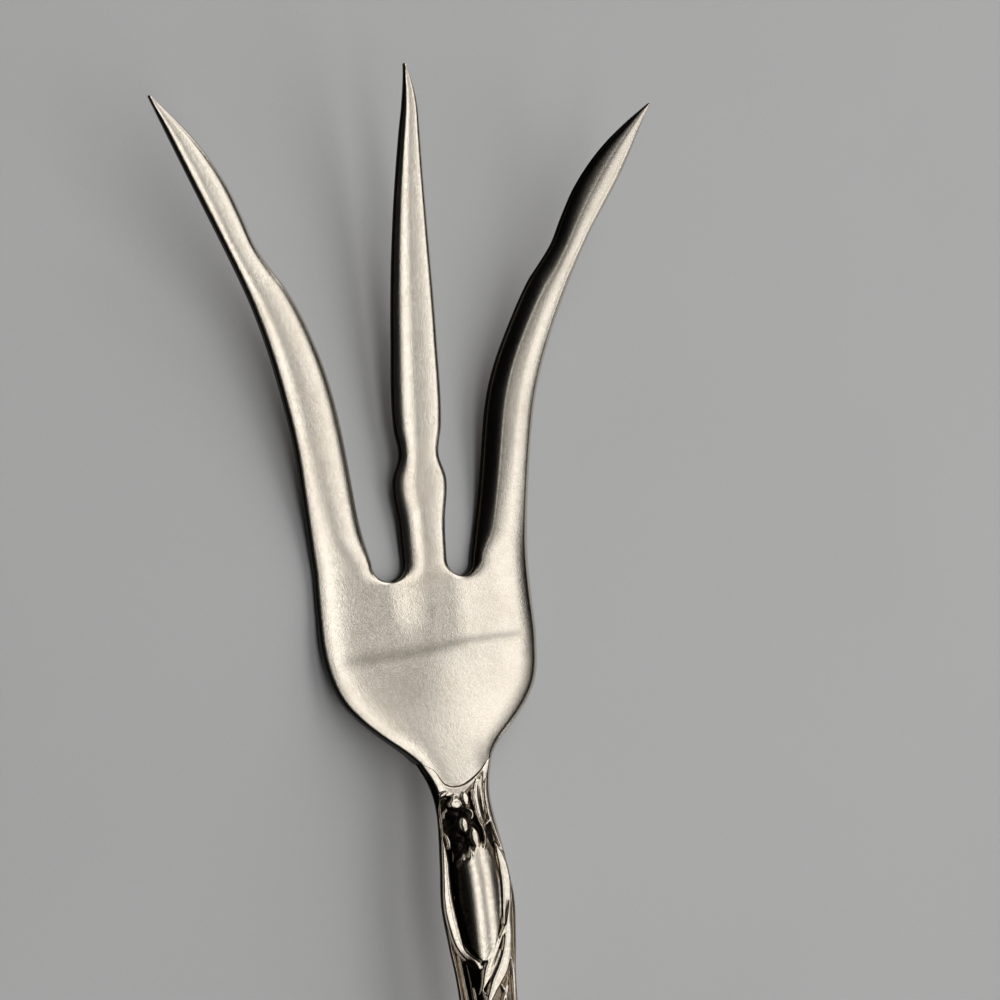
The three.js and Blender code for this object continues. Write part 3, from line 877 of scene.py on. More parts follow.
    def hollows(self):
        """Tarnish in the joint, and painted shade along the edges, most on those that face left."""
        facing_left = np.where(self.x < 0, 1 - self.on_outer, self.on_outer)
        return np.maximum.reduce(
            [
                self.joint.grime(self.x, self.heel_away),
                # Painted shade: a dark outline along every edge of the face
                0.9 * np.clip(1 - np.minimum(self.side_away, self.heel_away) / 0.12, 0, 1),
                # Painted shade: dark bands on the edges that face left, standing in for their dark
                # reflections
                facing_left * np.clip((0.26 - self.inner_away) / 0.1, 0, 1),
                (self.x < 0) * np.clip((0.18 - self.outer_away) / 0.08, 0, 1),
            ]
        )

    def back_edge_shade(self):
        """Painted shade on the back along its edges."""
        return np.clip(1.3 - self.side_away / 0.8, 0, 1)

    def painted_face_shade(self):
        """Painted shade on the face: patches on the palm, the right tine's inner slope and along the
        right edge.
        """
        inside_right = np.where(self.x > 0, self.on_outer, 0) * (self.above > -3)
        slope = inner_slope_shade(self.inner_away / self.inner_scale) * inside_right
        edge = right_edge_shade(self.x, self.outer_away, self.above)
        return np.maximum.reduce([palm_shade_patches(self.x, self.y), slope, edge])

    def bent_x(self):
        """Places across the head after its middle tip is bent and its sides are swelled."""
        curl = np.where(np.abs(self.x) < 4, self.plan.tip_curl(self.y), 0)
        return self.x - curl + self.head.side_swell * self.plan.swell(self.x, self.y)


def head_sheets():
    """The struck head: palm, tines, and the tang that is bedded in the handle."""
    head = millimetres(settings().head)
    struck = StruckHead(head, millimetres(settings().handle))
    x, y, faces = struck.bent_x(), struck.y, struck.faces
    crease = palm_crease(struck.x, y)
    middle = struck.profile.middle(y)
    top = middle + struck.thickness / 2 - struck.drop() - CREASE_DEPTH * crease
    bottom = middle - struck.thickness / 2 + struck.back_drop()
    bottom = np.maximum(0, np.minimum(bottom, top - LEAST_TIP))

    sheets = Sheets()
    upper = sheets.add(np.stack([x, y, top], -1))
    lower = sheets.add(np.stack([x, y, bottom], -1))
    sheets.faces += faces.tolist()
    sheets.faces += lower[faces[:, ::-1]].tolist()
    a, b = outline_edges(faces, len(x)).T
    sheets.faces += np.stack([upper[a], lower[a], lower[b], upper[b]], -1).tolist()
    add_tang(sheets, head, struck.profile)
    # The first mark holds tarnish in the joint and painted shade along the edges; the second holds
    # painted shade along the palm's crease and on the face
    marks = {"hollow": np.zeros(sheets.count), "crease": np.zeros(sheets.count)}
    marks["hollow"][upper] = struck.hollows()
    marks["hollow"][lower] = struck.back_edge_shade()
    marks["crease"][upper] = np.maximum(crease, struck.painted_face_shade())
    return sheets, marks


# Heights of a shell's upright rim as shares of its dome: front and back, and thinned at the neck
RIM_SHARE = {1: 0.5, -1: 0.14}
THIN_RIM = 0.17


def dome(plan, profile, x, y, side):
    """Height of a shell over the seam: a low dome with a rim, thin at the neck's left and back."""
    off = np.clip((x - plan.axis(y)) / np.maximum(1e-6, plan.half_width(y)), -1, 1)
    share = np.abs(off)
    rim = RIM_SHARE[side]
    full = rim + (1 - rim) * np.sqrt(1 - share**2.4)
    lens = THIN_RIM + (1 - THIN_RIM) * (1 - share**2) ** 1.4
    thin = ease(y, -34, -23) * np.where((off < 0) | (side < 0), 1, 0)
    return profile.handle_depth(y) / 2 * (full + (lens - full) * thin)


class Relief:
    """Ornament on the front of the handle, gathered stroke by stroke over a grid of places."""

    def __init__(self, x, y, ground_at, depth):
        self.x = x
        self.y = y
        self.ground_at = ground_at
        self.ground = ground_at(x, y)
        self.depth = depth
        self.height = np.zeros_like(x)
        self.tarnish_and_shade = np.zeros_like(x)
        self.cover = np.zeros_like(x)

    def _near(self, line, reach):
        """The places in the box round a line that is widened by its reach."""
        low, high = line.min(0) - reach, line.max(0) + reach
        inside = (self.x > low[0]) & (self.x < high[0]) & (self.y > low[1]) & (self.y < high[1])
        return np.flatnonzero(inside)

    def _raise(self, near, height, cover):
        """Raises places to a height, and clears the black laid on them so far where they are covered."""
        self.height[near] = np.maximum(self.height[near], height)
        self.cover[near] = np.maximum(self.cover[near], cover)
        self.tarnish_and_shade[near] *= 1 - cover

    def paint_shade(self, points, widths, strength):
        """Painted shade along points: black for dark reflections, over all that is there so far."""
        line = curve_through(points)
        near = self._near(line, max(widths))
        away, share = nearest(line, self.x[near], self.y[near])
        width = np.interp(share, shares_along(line)[::CURVE_STEPS], widths)
        self.tarnish_and_shade[near] = np.maximum(self.tarnish_and_shade[near], strength * ease(1 - away / width, 0, 0.25))

    def stroke(self, points, widths, height=1.0, fullness=2.0, tilt=None):
        """A cord or blade along points, with a half-width at each.

        With a tilt, its top is level from side to side but for that lean.
        """
        line = curve_through(points)
        near = self._near(line, max(widths))
        if not len(near):
            return
        away, share = nearest(line, self.x[near], self.y[near])
        passed = shares_along(line)
        width = np.interp(share, passed[::CURVE_STEPS], widths)
        side = np.clip(away / width, 0, 1)
        raised = height * self.depth * np.sqrt(1 - side**fullness)
        if tilt is not None:
            foot_x, foot_y = (np.interp(share, passed, line[:, axis]) for axis in (0, 1))
            level = self.ground_at(foot_x, foot_y) - self.ground[near] + tilt * (self.x[near] - foot_x)
            raised += level * np.sqrt(1 - side**8)
        self._raise(near, raised, ease(1 - side, 0.02, 0.2))

    def groove(self, points, width, depth):
        """A cut along points through what is there."""
        line = curve_through(points)
        near = self._near(line, width)
        away, share = nearest(line, self.x[near], self.y[near])
        cut = np.clip(1 - (away / width) ** 2, 0, 1) * np.sqrt(np.clip(np.sin(math.pi * share), 0, 1))
        self.height[near] = np.maximum(0, self.height[near] - depth * cut)
        self.tarnish_and_shade[near] = np.maximum(self.tarnish_and_shade[near], 0.9 * cut)

    def leaf(self, points, width, height=1.0, vein=0.3):
        """A pointed leaf along points, with a sunk vein."""
        line = curve_through(points)
        near = self._near(line, width)
        if not len(near):
            return
        away, share = nearest(line, self.x[near], self.y[near])
        half = width * np.clip(np.sin(math.pi * (0.08 + 0.87 * share)), 0.02, 1) ** 0.8
        side = np.clip(away / half, 0, 1)
        body = np.sqrt(1 - side**2) * (1 - vein * np.exp(-((away / 0.2) ** 2)))
        self._raise(near, height * self.depth * body, ease(1 - side, 0.02, 0.3))

    def petal(self, centre, size, turn=0.0, height=1.0, tilt=None):
        """An oval knob of the given half-sizes, turned by degrees.

        With a tilt, its top is flat and leans by that.
        """
        centre = np.array(centre, float)
        near = self._near(np.array([centre, centre]), max(size))
        if not len(near):
            return
        dx, dy = self.x[near] - centre[0], self.y[near] - centre[1]
        c, s = math.cos(math.radians(turn)), math.sin(math.radians(turn))
        inside = 1 - ((dx * c + dy * s) / size[0]) ** 2 - ((dy * c - dx * s) / size[1]) ** 2
        raised = height * self.depth * np.sqrt(np.clip(inside, 0, None))
        if tilt is not None:
            firm = np.sqrt(np.clip(1 - (1 - np.clip(inside, 0, 1)) ** 3, 0, None))
            beside = self.ground_at(centre[0] + dx, np.full(len(dx), centre[1]))
            level = self.ground_at(centre[:1], centre[1:]) - beside
            raised = firm * (height * self.depth + level + tilt * dx)
        self._raise(near, raised, ease(inside, 0.02, 0.3))


def neck_ornament(relief):
    """Lips, a folded leaf and a blossom between the heel and the oval panel."""
    relief.petal([-2.05, -3.5], [0.9, 1.15], turn=15, height=0.9)
    relief.petal([-0.35, -3.2], [0.75, 0.8], height=1.0)
    relief.petal([-2.2, -5.6], [0.75, 1.3], height=0.9)
    relief.petal([-1.1, -4.2], [0.75, 1.2], height=1.3)
    relief.petal([-0.2, -5.6], [0.78, 1.4], turn=4, height=1.35)
    relief.petal([-1.65, -5.71], [0.3, 0.32], height=1.3)
    # Painted shade: black over the blossom's left and middle, where dark reflections fall; the light
    # petals and strokes laid later clear it
    relief.paint_shade(
        [[-2.6, -1.4], [-2.6, -2.4], [-2.2, -4], [-2.1, -6], [-2.3, -8.6]],
        [0.4, 0.6, 1.1, 1.15, 0.75],
        0.8,
    )
    relief.paint_shade(
        [[-1.2, -2.6], [-0.8, -3.4], [-0.7, -5], [-0.8, -6.4], [-1.6, -8.2]],
        [0.9, 1.3, 1.4, 1.3, 0.95],
        0.8,
    )
    relief.stroke([[0.45, -1.0], [0.35, -2.0], [0.42, -3.2], [0.6, -4.2]], [0.1, 0.12, 0.12, 0.1], 0.3)
    # Painted shade beside the thin stroke, under the leaf's hook and down the right of the panel
    relief.paint_shade(
        [[0.45, -0.7], [0.35, -1.7], [0.4, -3], [0.6, -4.2], [0.75, -5.5], [0.6, -6.5]],
        [0.12, 0.2, 0.25, 0.4, 0.4, 0.2],
        0.95,
    )
    relief.paint_shade([[1.95, -4.3], [1.85, -5], [1.95, -6], [2.05, -6.9]], [0.3, 0.5, 0.45, 0.2], 0.85)
    relief.paint_shade(
        [[1.75, -6.6], [2.1, -8], [2.3, -10], [2.35, -12], [2.3, -14]],
        [0.35, 0.4, 0.35, 0.3, 0.2],
        0.7,
    )
    relief.stroke(
        [[-3.5, -0.75], [-3.1, -0.75], [-2.6, -0.55], [-2.2, -0.4]],
        [0.12, 0.3, 0.32, 0.2],
        1.0,
        4.0,
        0.1,
    )
    relief.stroke(
        [[-3.15, -0.9], [-3.08, -1.9], [-3.06, -2.8], [-3.1, -3.9], [-3.25, -4.8], [-3.42, -5.8]],
        [0.1, 0.13, 0.13, 0.13, 0.15, 0.16],
        0.7,
        3.0,
        0.1,
    )
    relief.stroke([[-2.95, -5.0], [-2.85, -5.8], [-2.85, -6.6]], [0.08, 0.16, 0.12], 1.0, 4.0, 0.1)
    relief.petal([-1.37, -1.1], [0.55, 0.5], height=0.9, tilt=0.08)
    relief.petal([-1.5, -1.75], [0.85, 0.62], height=1.15, tilt=0.08)
    relief.petal([-0.3, -1.3], [0.5, 0.82], height=1.15, tilt=-0.08)
    relief.stroke(
        [[1.6, 0.5], [1.2, -0.4], [1.0, -1.4], [1.0, -2.3], [1.08, -3.2], [1.25, -3.9]],
        [0.3, 0.4, 0.4, 0.36, 0.3, 0.12],
        0.7,
        4.0,
        -0.06,
    )
    relief.stroke(
        [[2.2, 0.8], [1.85, -0.2], [1.72, -1.3], [1.66, -2.3], [1.6, -3.2]],
        [0.2, 0.3, 0.28, 0.24, 0.14],
        0.7,
        4.0,
        0.1,
    )
    # Painted shade between the two blades of the leaf
    relief.paint_shade([[1.5, -0.2], [1.36, -1.4], [1.38, -2.6], [1.55, -3.8]], [0.12, 0.17, 0.2, 0.32], 0.75)
    relief.stroke(
        [[0.79, -0.63], [0.61, -1.16], [0.64, -1.83], [0.61, -2.6], [0.68, -3.27]]
        + [[0.81, -4.06], [1.09, -4.75], [1.17, -5.53], [1.11, -6.18], [0.81, -6.8]],
        [0.12, 0.15, 0.15, 0.15, 0.15, 0.15, 0.16, 0.17, 0.16, 0.1],
        1.15,
        4.0,
        -0.1,
    )
    relief.stroke(
        [[2.78, 0.56], [2.4, -0.51], [2.25, -1.6], [2.2, -2.7], [2.2, -3.47], [2.3, -3.98]],
        [0.15, 0.24, 0.26, 0.26, 0.26, 0.24],
        0.9,
        4.0,
        -0.1,
    )
    relief.stroke([[2.35, -3.9], [1.95, -4.12], [1.5, -4.45]], [0.2, 0.17, 0.08], 1.0, 4.0, -0.1)
    relief.stroke(
        [[2.32, -4.0], [2.42, -4.6], [2.56, -5.3], [2.74, -6.1]]
        + [[3.0, -7.14], [3.21, -8.05], [3.42, -9.18]],
        [0.16, 0.2, 0.22, 0.22, 0.24, 0.24, 0.14],
        1.0,
        4.0,
        -0.1,
    )
    relief.stroke([[-2.35, -2.3], [-2.72, -2.72], [-2.84, -3.3]], [0.08, 0.13, 0.08], 1.15, 3.0, 0.1)
    relief.stroke(
        [[-0.3, -2.4], [0.05, -2.7], [0.12, -3.1], [-0.03, -3.45]],
        [0.1, 0.17, 0.19, 0.1],
        1.3,
        4.0,
        -0.1,
    )
    relief.petal([-1.12, -4.11], [0.4, 0.78], height=1.5, tilt=0.1)
    relief.petal([-0.12, -5.56], [0.58, 1.12], turn=4, height=1.5, tilt=-0.08)
    relief.stroke([[-0.8, -6.55], [-0.85, -7.1], [-0.95, -7.6]], [0.06, 0.2, 0.25], 1.4, 4.0, 0.1)
    relief.stroke([[-1.55, -7.3], [-1.75, -7.8]], [0.08, 0.14], 1.2, 4.0, 0.1)


PANEL_CROWN = 0.05
PANEL_LIFT = 0.35


def panel_ornament(relief, crown, radius):
    """The oval panel, and the ribbon and leaf that frame it."""
    left = smooth_through(
        [[-19.3, -1.2], [-18.9, -1.45], [-18.5, -1.85], [-17.8, -2.5], [-16.7, -2.82], [-15.1, -2.97]]
        + [[-13.7, -3.15], [-12, -3.25], [-9.85, -3.15], [-7.8, -3.05], [-6, -2.9]]
    )
    right = smooth_through(
        [[-19.3, -0.91], [-18.94, -0.39], [-17.88, 0.57], [-16.03, 1.38], [-14.44, 1.8]]
        + [[-12.27, 2.08], [-10.28, 2.19], [-8.52, 1.84], [-6, 1.2]]
    )
    low, high = left(relief.y), right(relief.y)
    side = (2 * relief.x - low - high) / np.maximum(0.05, high - low)
    edge = np.minimum(relief.x - low, high - relief.x)
    top = -6.4 + 0.75 * np.minimum(0, relief.x - 0.3)
    inside = ease(edge, 0, 0.12) * ease(relief.y, -19.4, -19.0) * (1 - ease(relief.y - top, -0.5, 0.5))
    off = relief.x - PANEL_CROWN
    fall = np.where(off < 0, off**2 / (2 * radius) + 0.013 * off**4, off**2 / (1.05 * radius))
    face = crown + PANEL_LIFT * (1 - ease(relief.y, -10, -6)) - fall - relief.ground
    relief.height = np.maximum(relief.height, np.clip(face, 0, None) * inside)
    relief.cover = np.maximum(relief.cover, inside * ease(face, 0, 0.05))
    relief.tarnish_and_shade = relief.tarnish_and_shade * (1 - inside)
    # Brown on the panel's right flank: partly patina, partly painted shade where the flank turns from the
    # light
    relief.tarnish_and_shade = np.maximum(relief.tarnish_and_shade, 0.35 * inside * ease(side, 0.55, 1.0))
    # Painted dark reflection on the panel's left flank, beside the ribbon
    painted_dark_reflection = np.interp(relief.y, [-19, -17.6, -14.7, -11.8, -9.2], [-0.95, -1.03, -1.22, -1.38, -1.41])
    painted_dark_reflection = (1 - 0.3 * ease(relief.x - low, 0.4, 0.8)) * (1 - ease(relief.x - painted_dark_reflection, -0.6, -0.1))
    painted_dark_reflection *= ease(relief.x - low, -0.4, -0.2)
    painted_dark_reflection *= ease(relief.y, -19.6, -19.2) * (1 - ease(relief.y, -6.8, -6.4))
    relief.tarnish_and_shade = np.maximum(relief.tarnish_and_shade, painted_dark_reflection)
    relief.stroke(
        [[-3.4, -5.6], [-3.42, -6.6], [-3.6, -8.2], [-3.8, -9.8], [-3.9, -11.6], [-3.82, -13.3]]
        + [[-3.6, -14.9], [-3.32, -16.5], [-2.98, -17.6], [-2.48, -18.45]]
        + [[-2.0, -18.95], [-1.6, -19.4], [-1.35, -19.7]],
        [0.14, 0.3, 0.52, 0.6, 0.62, 0.64, 0.6, 0.55, 0.5, 0.5, 0.5, 0.48, 0.4],
        0.9,
        5.0,
        0.13,
    )
    # Painted shade in the hollow below the ribbon's end
    relief.paint_shade([[-2.3, -19.4], [-2.1, -20.5], [-2.0, -22], [-1.9, -24]], [0.8, 1.1, 1.0, 0.8], 0.9)


def stem_ornament(relief, plan):
    """Leaf blades that pass the panel, cross below it and wind on round the stem."""
    relief.stroke(
        [[2.3, -6.6], [2.6, -7.8], [2.85, -9.2], [2.9, -10.8], [2.72, -12.4], [2.5, -13.8], [2.4, -15]]
        + [[2.42, -15.9], [2.25, -17.3], [1.86, -18.8], [1.2, -20.25], [0.46, -21.3]]
        + [[-0.1, -22.2], [-0.7, -23.4], [-1.3, -25]],
        [0.12, 0.5, 0.68, 0.74, 0.7, 0.66, 0.6, 0.56, 0.58, 0.68, 0.76, 0.7, 0.56, 0.36, 0.1],
        1.1,
        6.0,
        -0.1,
    )
    relief.groove([[2.9, -12.7], [2.72, -13.26], [2.34, -14.53], [2.1, -15.37], [1.9, -15.9]], 0.12, 0.4)
    relief.stroke(
        [[2.0, -15.7], [1.35, -16.9], [0.7, -17.95], [0.02, -18.95]]
        + [[-0.45, -19.8], [-0.8, -20.7], [-1.1, -21.7], [-1.5, -22.6]],
        [0.1, 0.26, 0.36, 0.46, 0.48, 0.4, 0.26, 0.08],
        1.05,
        5.0,
        -0.08,
    )
    relief.stroke(
        [[1.27, -18.2], [0.5, -19.5], [-0.3, -20.75], [-1.0, -21.9], [-1.5, -22.6]],
        [0.08, 0.2, 0.2, 0.14, 0.06],
        0.8,
        4.0,
        0.05,
    )
    relief.stroke(
        [[2.49, -18.9], [2.62, -19.9], [2.63, -21.24], [2.53, -22.88], [2.3, -25.5]],
        [0.1, 0.22, 0.28, 0.26, 0.1],
        0.9,
        4.0,
        -0.1,
    )
    relief.stroke([[1.96, -21.32], [1.49, -22.24], [1.05, -23.48], [0.5, -25]], [0.06, 0.13, 0.15, 0.06])
    relief.stroke(
        [[-3.2, -18.4], [-3.1, -19.3], [-3.0, -20.3], [-2.88, -21.4], [-2.75, -22.65], [-2.5, -25.5]],
        [0.06, 0.1, 0.12, 0.12, 0.12, 0.08],
    )
    first, last, pitch, strands = -22.0, -80.0, 30.0, 5
    for strand in range(strands):
        y = np.linspace(first, last, 15)
        turn = 2 * math.pi * (strand / strands + (y - first) / pitch)
        middle = plan.axis(y) + plan.half_width(y) * 0.62 * np.sin(turn)
        width = np.interp(y, [last, -70, -55, -40, -30, first], [0.1, 0.4, 0.55, 0.5, 0.4, 0.1])
        relief.stroke(np.stack([middle, y], -1), width, 0.9, 3.0)


def terminal_ornament(relief, plan, end):
    """A blossom between leaves on the broad end, inside a border rib."""
    rib = plan.half_width(relief.y) - np.abs(relief.x) - 0.85
    fade = ease(-relief.y, 66, 74)
    border = fade * np.sqrt(np.clip(1 - (rib / 0.55) ** 2, 0, None))
    relief.height = np.maximum(relief.height, relief.depth * border)
    centre = end + 13.5
    for angle in range(0, 360, 72):
        out = np.array([math.sin(math.radians(angle)), math.cos(math.radians(angle))])
        relief.petal(np.array([0, centre]) + 2.7 * out, [1.25, 2.0], turn=-angle, height=1.3)
        relief.petal(np.array([0, centre]) + 3.2 * out, [0.7, 1.3], turn=-angle, height=1.55)
    relief.petal([0, centre], [1.0, 1.0], height=2.0)
    for side in (-1, 1):
        for points, width in (
            ([[1.0, 18], [3.2, 12], [4.6, 6], [5.6, -0.5]], 1.3),
            ([[0.4, 24], [1.8, 15], [1.7, 9], [0.5, 4.8]], 1.0),
            ([[5.2, -2], [4.6, -5.5], [3.0, -8], [0.8, -9.6]], 0.9),
        ):
            relief.leaf([[side * x, centre + y] for x, y in points], width, 1.1)


# Where the ornament begins below the joint, over the width of the neck
COLLAR = smooth_through(
    [[-5, -0.6], [-3.4, -0.95], [-2.3, -0.75], [-1.6, -0.9], [-0.9, -0.95], [-0.2, -0.55], [0.5, -0.05]]
    + [[1.2, 0.45], [2.4, 1.35], [4, 2.4]]
)


# Where the plain rim on the right of the neck begins, over its length
RIGHT_RIM = smooth_through(
    [[-24, 2.75], [-22, 2.9], [-20, 3.0], [-17.5, 3.1], [-15, 3.35], [-13, 3.45], [-11.5, 3.6]]
    + [[-10, 3.55], [-8, 3.3], [-6, 2.9], [-4.2, 2.45], [-3, 2.35], [0, 2.4], [4, 3.6]]
)
STEM_RIM = 0.35


def right_rim(plan, y):
    """Where the ornament ends on the right: at the rim of the neck, then beside the stem's edge."""
    return blend(RIGHT_RIM(y), plan.axis(y) + plan.half_width(y) - STEM_RIM, ease(-y, 24, 34))


def sunk_ground(plan, x, y):
    """Where the ground of the ornament is sunk, inside its edges and below the collar."""
    from_left = x - plan.axis(y) + plan.half_width(y)
    inside = ease(right_rim(plan, y) - x, 0, 0.2) * ease(from_left, 0.05, 0.3)
    return inside * ease(COLLAR(x) - y, 0, 0.3)


def beside_panel(plan, x, y):
    """Where the rim runs on the right of the panel and below it."""
    return ease(x - right_rim(plan, y), -0.25, 0.1) * ease(-y, 9.5, 12.5)


def smeared(grid, times):
    """A grid of heights with its fine forms smoothed away."""
    for _ in range(times):
        for axis in (0, 1):
            grid = np.moveaxis(grid, axis, 0)
            padded = np.concatenate([grid[:1], grid, grid[-1:]])
            grid = np.moveaxis(0.25 * padded[:-2] + 0.5 * grid + 0.25 * padded[2:], 0, axis)
    return grid


FRONT_COLUMNS = 104
BACK_COLUMNS = 40
INNER_COLUMNS = 12
# The back has every fifth row of the front, apart from those at the mouth and the end
MOUTH_ROWS = 8
END_ROWS = 17
BACK_THINNING = 5


def shell_places(profile, plan):
    """Edge places along the handle, close together where the ornament is fine."""
    end = profile.end
    return np.concatenate(
        [
            plan.mouth - spread(0, 0.3, 5)[:-1],
            np.arange(plan.mouth - 0.3, -27, -0.09),
            np.arange(-27, -76, -0.28),
            np.arange(-76, end + 4, -0.22),
            (end + spread(0, 4, 16))[::-1],
        ]
    )


def flush_height(head, profile, plan, x, y):
    """Height over the seam at which the front shell runs on flush from the face of the head."""
    palm_half, palm_y = HeadPlan(head, plan.joint).palm_edge(np.linspace(0, 0.4, 30))
    line = np.vstack([plan.edge_below_heel(), np.stack([palm_half, palm_y], -1)])
    away, along = nearest(line, np.abs(x).ravel(), y.ravel())
    half = np.interp(along, shares_along(line), line[:, 0])
    fall = palm_edge_fall(head, x.ravel(), away, half).reshape(x.shape)
    return profile.head_thickness(y) / 2 - fall


def front_relief(handle, profile, plan, x, y):
    """Height, cover, and tarnish with painted shade of the front shell's ornament, over its grid of
    places.
    """
    relief = Relief(
        x.ravel(),
        y.ravel(),
        lambda x, y: dome(plan, profile, x, y, 1) - handle.ground_depth,
        handle.relief_height,
    )
    crown = dome(plan, profile, plan.axis(y), y, 1)
    neck_ornament(relief)
    panel_ornament(relief, crown.ravel(), handle.panel_radius)
    stem_ornament(relief, plan)
    terminal_ornament(relief, plan, profile.end)
    return (values.reshape(x.shape) for values in (relief.height, relief.cover, relief.tarnish_and_shade))


def struck_front(head, handle, profile, plan, x, y, rim_away):
    """Height of the front shell with its ornament, and its tarnish and painted shade."""
    joint = plan.joint
    depth = handle.ground_depth
    below = joint.line(x) - plan.gap - y
    sunk = sunk_ground(plan, x, y)
    ornament, cover, tarnish_and_shade = front_relief(handle, profile, plan, x, y)
    raised = smeared(ornament, 2) * (0.5 + 0.5 * ease(rim_away, 0.0, 0.2))
    height = dome(plan, profile, x, y, 1)
    height = blend(height, flush_height(head, profile, plan, x, y), 1 - ease(COLLAR(x) - y, -0.6, 2.2))
    height = height - depth + np.maximum(raised, depth * (1 - sunk))
    marks = [
        sunk * (1 - smeared(cover, 1)) * (0.62 + 0.3 * ease(-y, 23, 27)),
        np.clip((smeared(height, 14) - height) / 0.2, 0, 1),
        tarnish_and_shade,
        joint.grime(x, below),
        0.6 * beside_panel(plan, x, y) * (1 - cover),
        # Painted shade along the left rim of the neck, where dark reflections fall
        (x < 0) * np.clip((0.2 - rim_away) / 0.08, 0, 1) * ease(y, -3, -1),
        0.27 * cover,
    ]
    return height - joint.rolled_lip(x, below), np.maximum.reduce(marks)


def carried_to_seam(x, y, z, seam_z):
    """Points of a shell's face, with both long edges carried on to the seam."""
    first, last = (np.stack([x[:, [k]], y[:, [k]], seam_z[:, [k]]], -1) for k in (0, -1))
    return np.concatenate([first, np.stack([x, y, z], -1), last], 1)


def shell_sheets(side):
    """One struck shell of the handle: side is 1 for the front and -1 for the back."""
    head = millimetres(settings().head)
    handle = millimetres(settings().handle)
    profile = Profile(head, handle)
    plan = HandlePlan(handle, HeelJoint(head))
    front = side > 0
    columns = FRONT_COLUMNS if front else BACK_COLUMNS
    across = np.sin(np.linspace(-math.pi / 2, math.pi / 2, columns + 1))
    across = 0.45 * across + 0.55 * np.linspace(-1, 1, columns + 1)
    edge_y = shell_places(profile, plan)
    if not front:
        thinned = edge_y[MOUTH_ROWS:-END_ROWS:BACK_THINNING]
        edge_y = np.concatenate([edge_y[:MOUTH_ROWS], thinned, edge_y[-END_ROWS:]])
    x, y = plan.rows(edge_y, across)
    rim_away = plan.half_width(y) - np.abs(x - plan.axis(y))
    height = dome(plan, profile, x, y, side)
    # Painted shade: a dark outline along the shell's rim
    hollow = np.clip(1 - rim_away / 0.12, 0, 1) * 0.9
    if front:
        height, tarnish_and_shade = struck_front(head, handle, profile, plan, x, y, rim_away)
        hollow = np.maximum(hollow, tarnish_and_shade)
    middle = profile.middle(y)
    surface_z = np.maximum(0, middle + side * height)

    sheets = Sheets()
    seam = handle.seam_gap / 2
    numbers = sheets.add(carried_to_seam(x, y, surface_z, middle + side * seam))
    sheets.grid(numbers, flip=front)

    last = len(edge_y) - 3
    keep = np.unique(np.concatenate([[0], np.arange(2, last, 6 if front else 2), [last]]))
    inner_x, inner_y = plan.rows(edge_y[keep], np.linspace(-1, 1, INNER_COLUMNS + 1))
    inner_axis = plan.axis(edge_y[keep])[:, None]
    narrower = np.clip(1 - handle.wall / plan.half_width(edge_y[keep]), 0.2, 1)[:, None]
    inner_x = inner_axis + (inner_x - inner_axis) * narrower
    inner_middle = profile.middle(inner_y)
    lift = dome(plan, profile, inner_x, inner_y, -1) - handle.wall
    ceiling = np.maximum(handle.wall, inner_middle + side * np.maximum(seam + 0.05, lift))
    inner = sheets.add(carried_to_seam(inner_x, inner_y, ceiling, inner_middle + side * seam))
    sheets.grid(inner, flip=not front)

    loop = [numbers[:, 0], numbers[-1], numbers[::-1, -1], numbers[0, ::-1]]
    inner_loop = [inner[:, 0], inner[-1], inner[::-1, -1], inner[0, ::-1]]
    for outer_side, inner_side in zip(loop, inner_loop):
        if front:
            sheets.bridge(outer_side, inner_side)
        else:
            sheets.bridge(outer_side[::-1], inner_side[::-1])
    mark = np.zeros(sheets.count)
    # The points carried to the seam are painted black: painted shade on the side walls, which also
    # darkens the seam
    mark[numbers] = np.concatenate([np.ones((len(x), 1)), hollow, np.ones((len(x), 1))], 1)
    return sheets, {"hollow": mark, "crease": np.zeros(sheets.count)}


class Value:
    """A shader socket in Python expressions; an operation adds its Math node."""

    def __init__(self, shader, socket):
        self.shader = shader
        self.socket = socket

    def _math(self, operation, first, second):
        """The result of a Math node on two values."""
        made = self.shader.node("ShaderNodeMath", {"operation": operation}, {0: first, 1: second})
        return made["Value"]

    def __add__(self, other):
        return self._math("ADD", self, other)

    __radd__ = __add__

    def __sub__(self, other):
        return self._math("SUBTRACT", self, other)

    def __rsub__(self, other):
        return self._math("SUBTRACT", other, self)

    def __mul__(self, other):
        return self._math("MULTIPLY", self, other)

    __rmul__ = __mul__


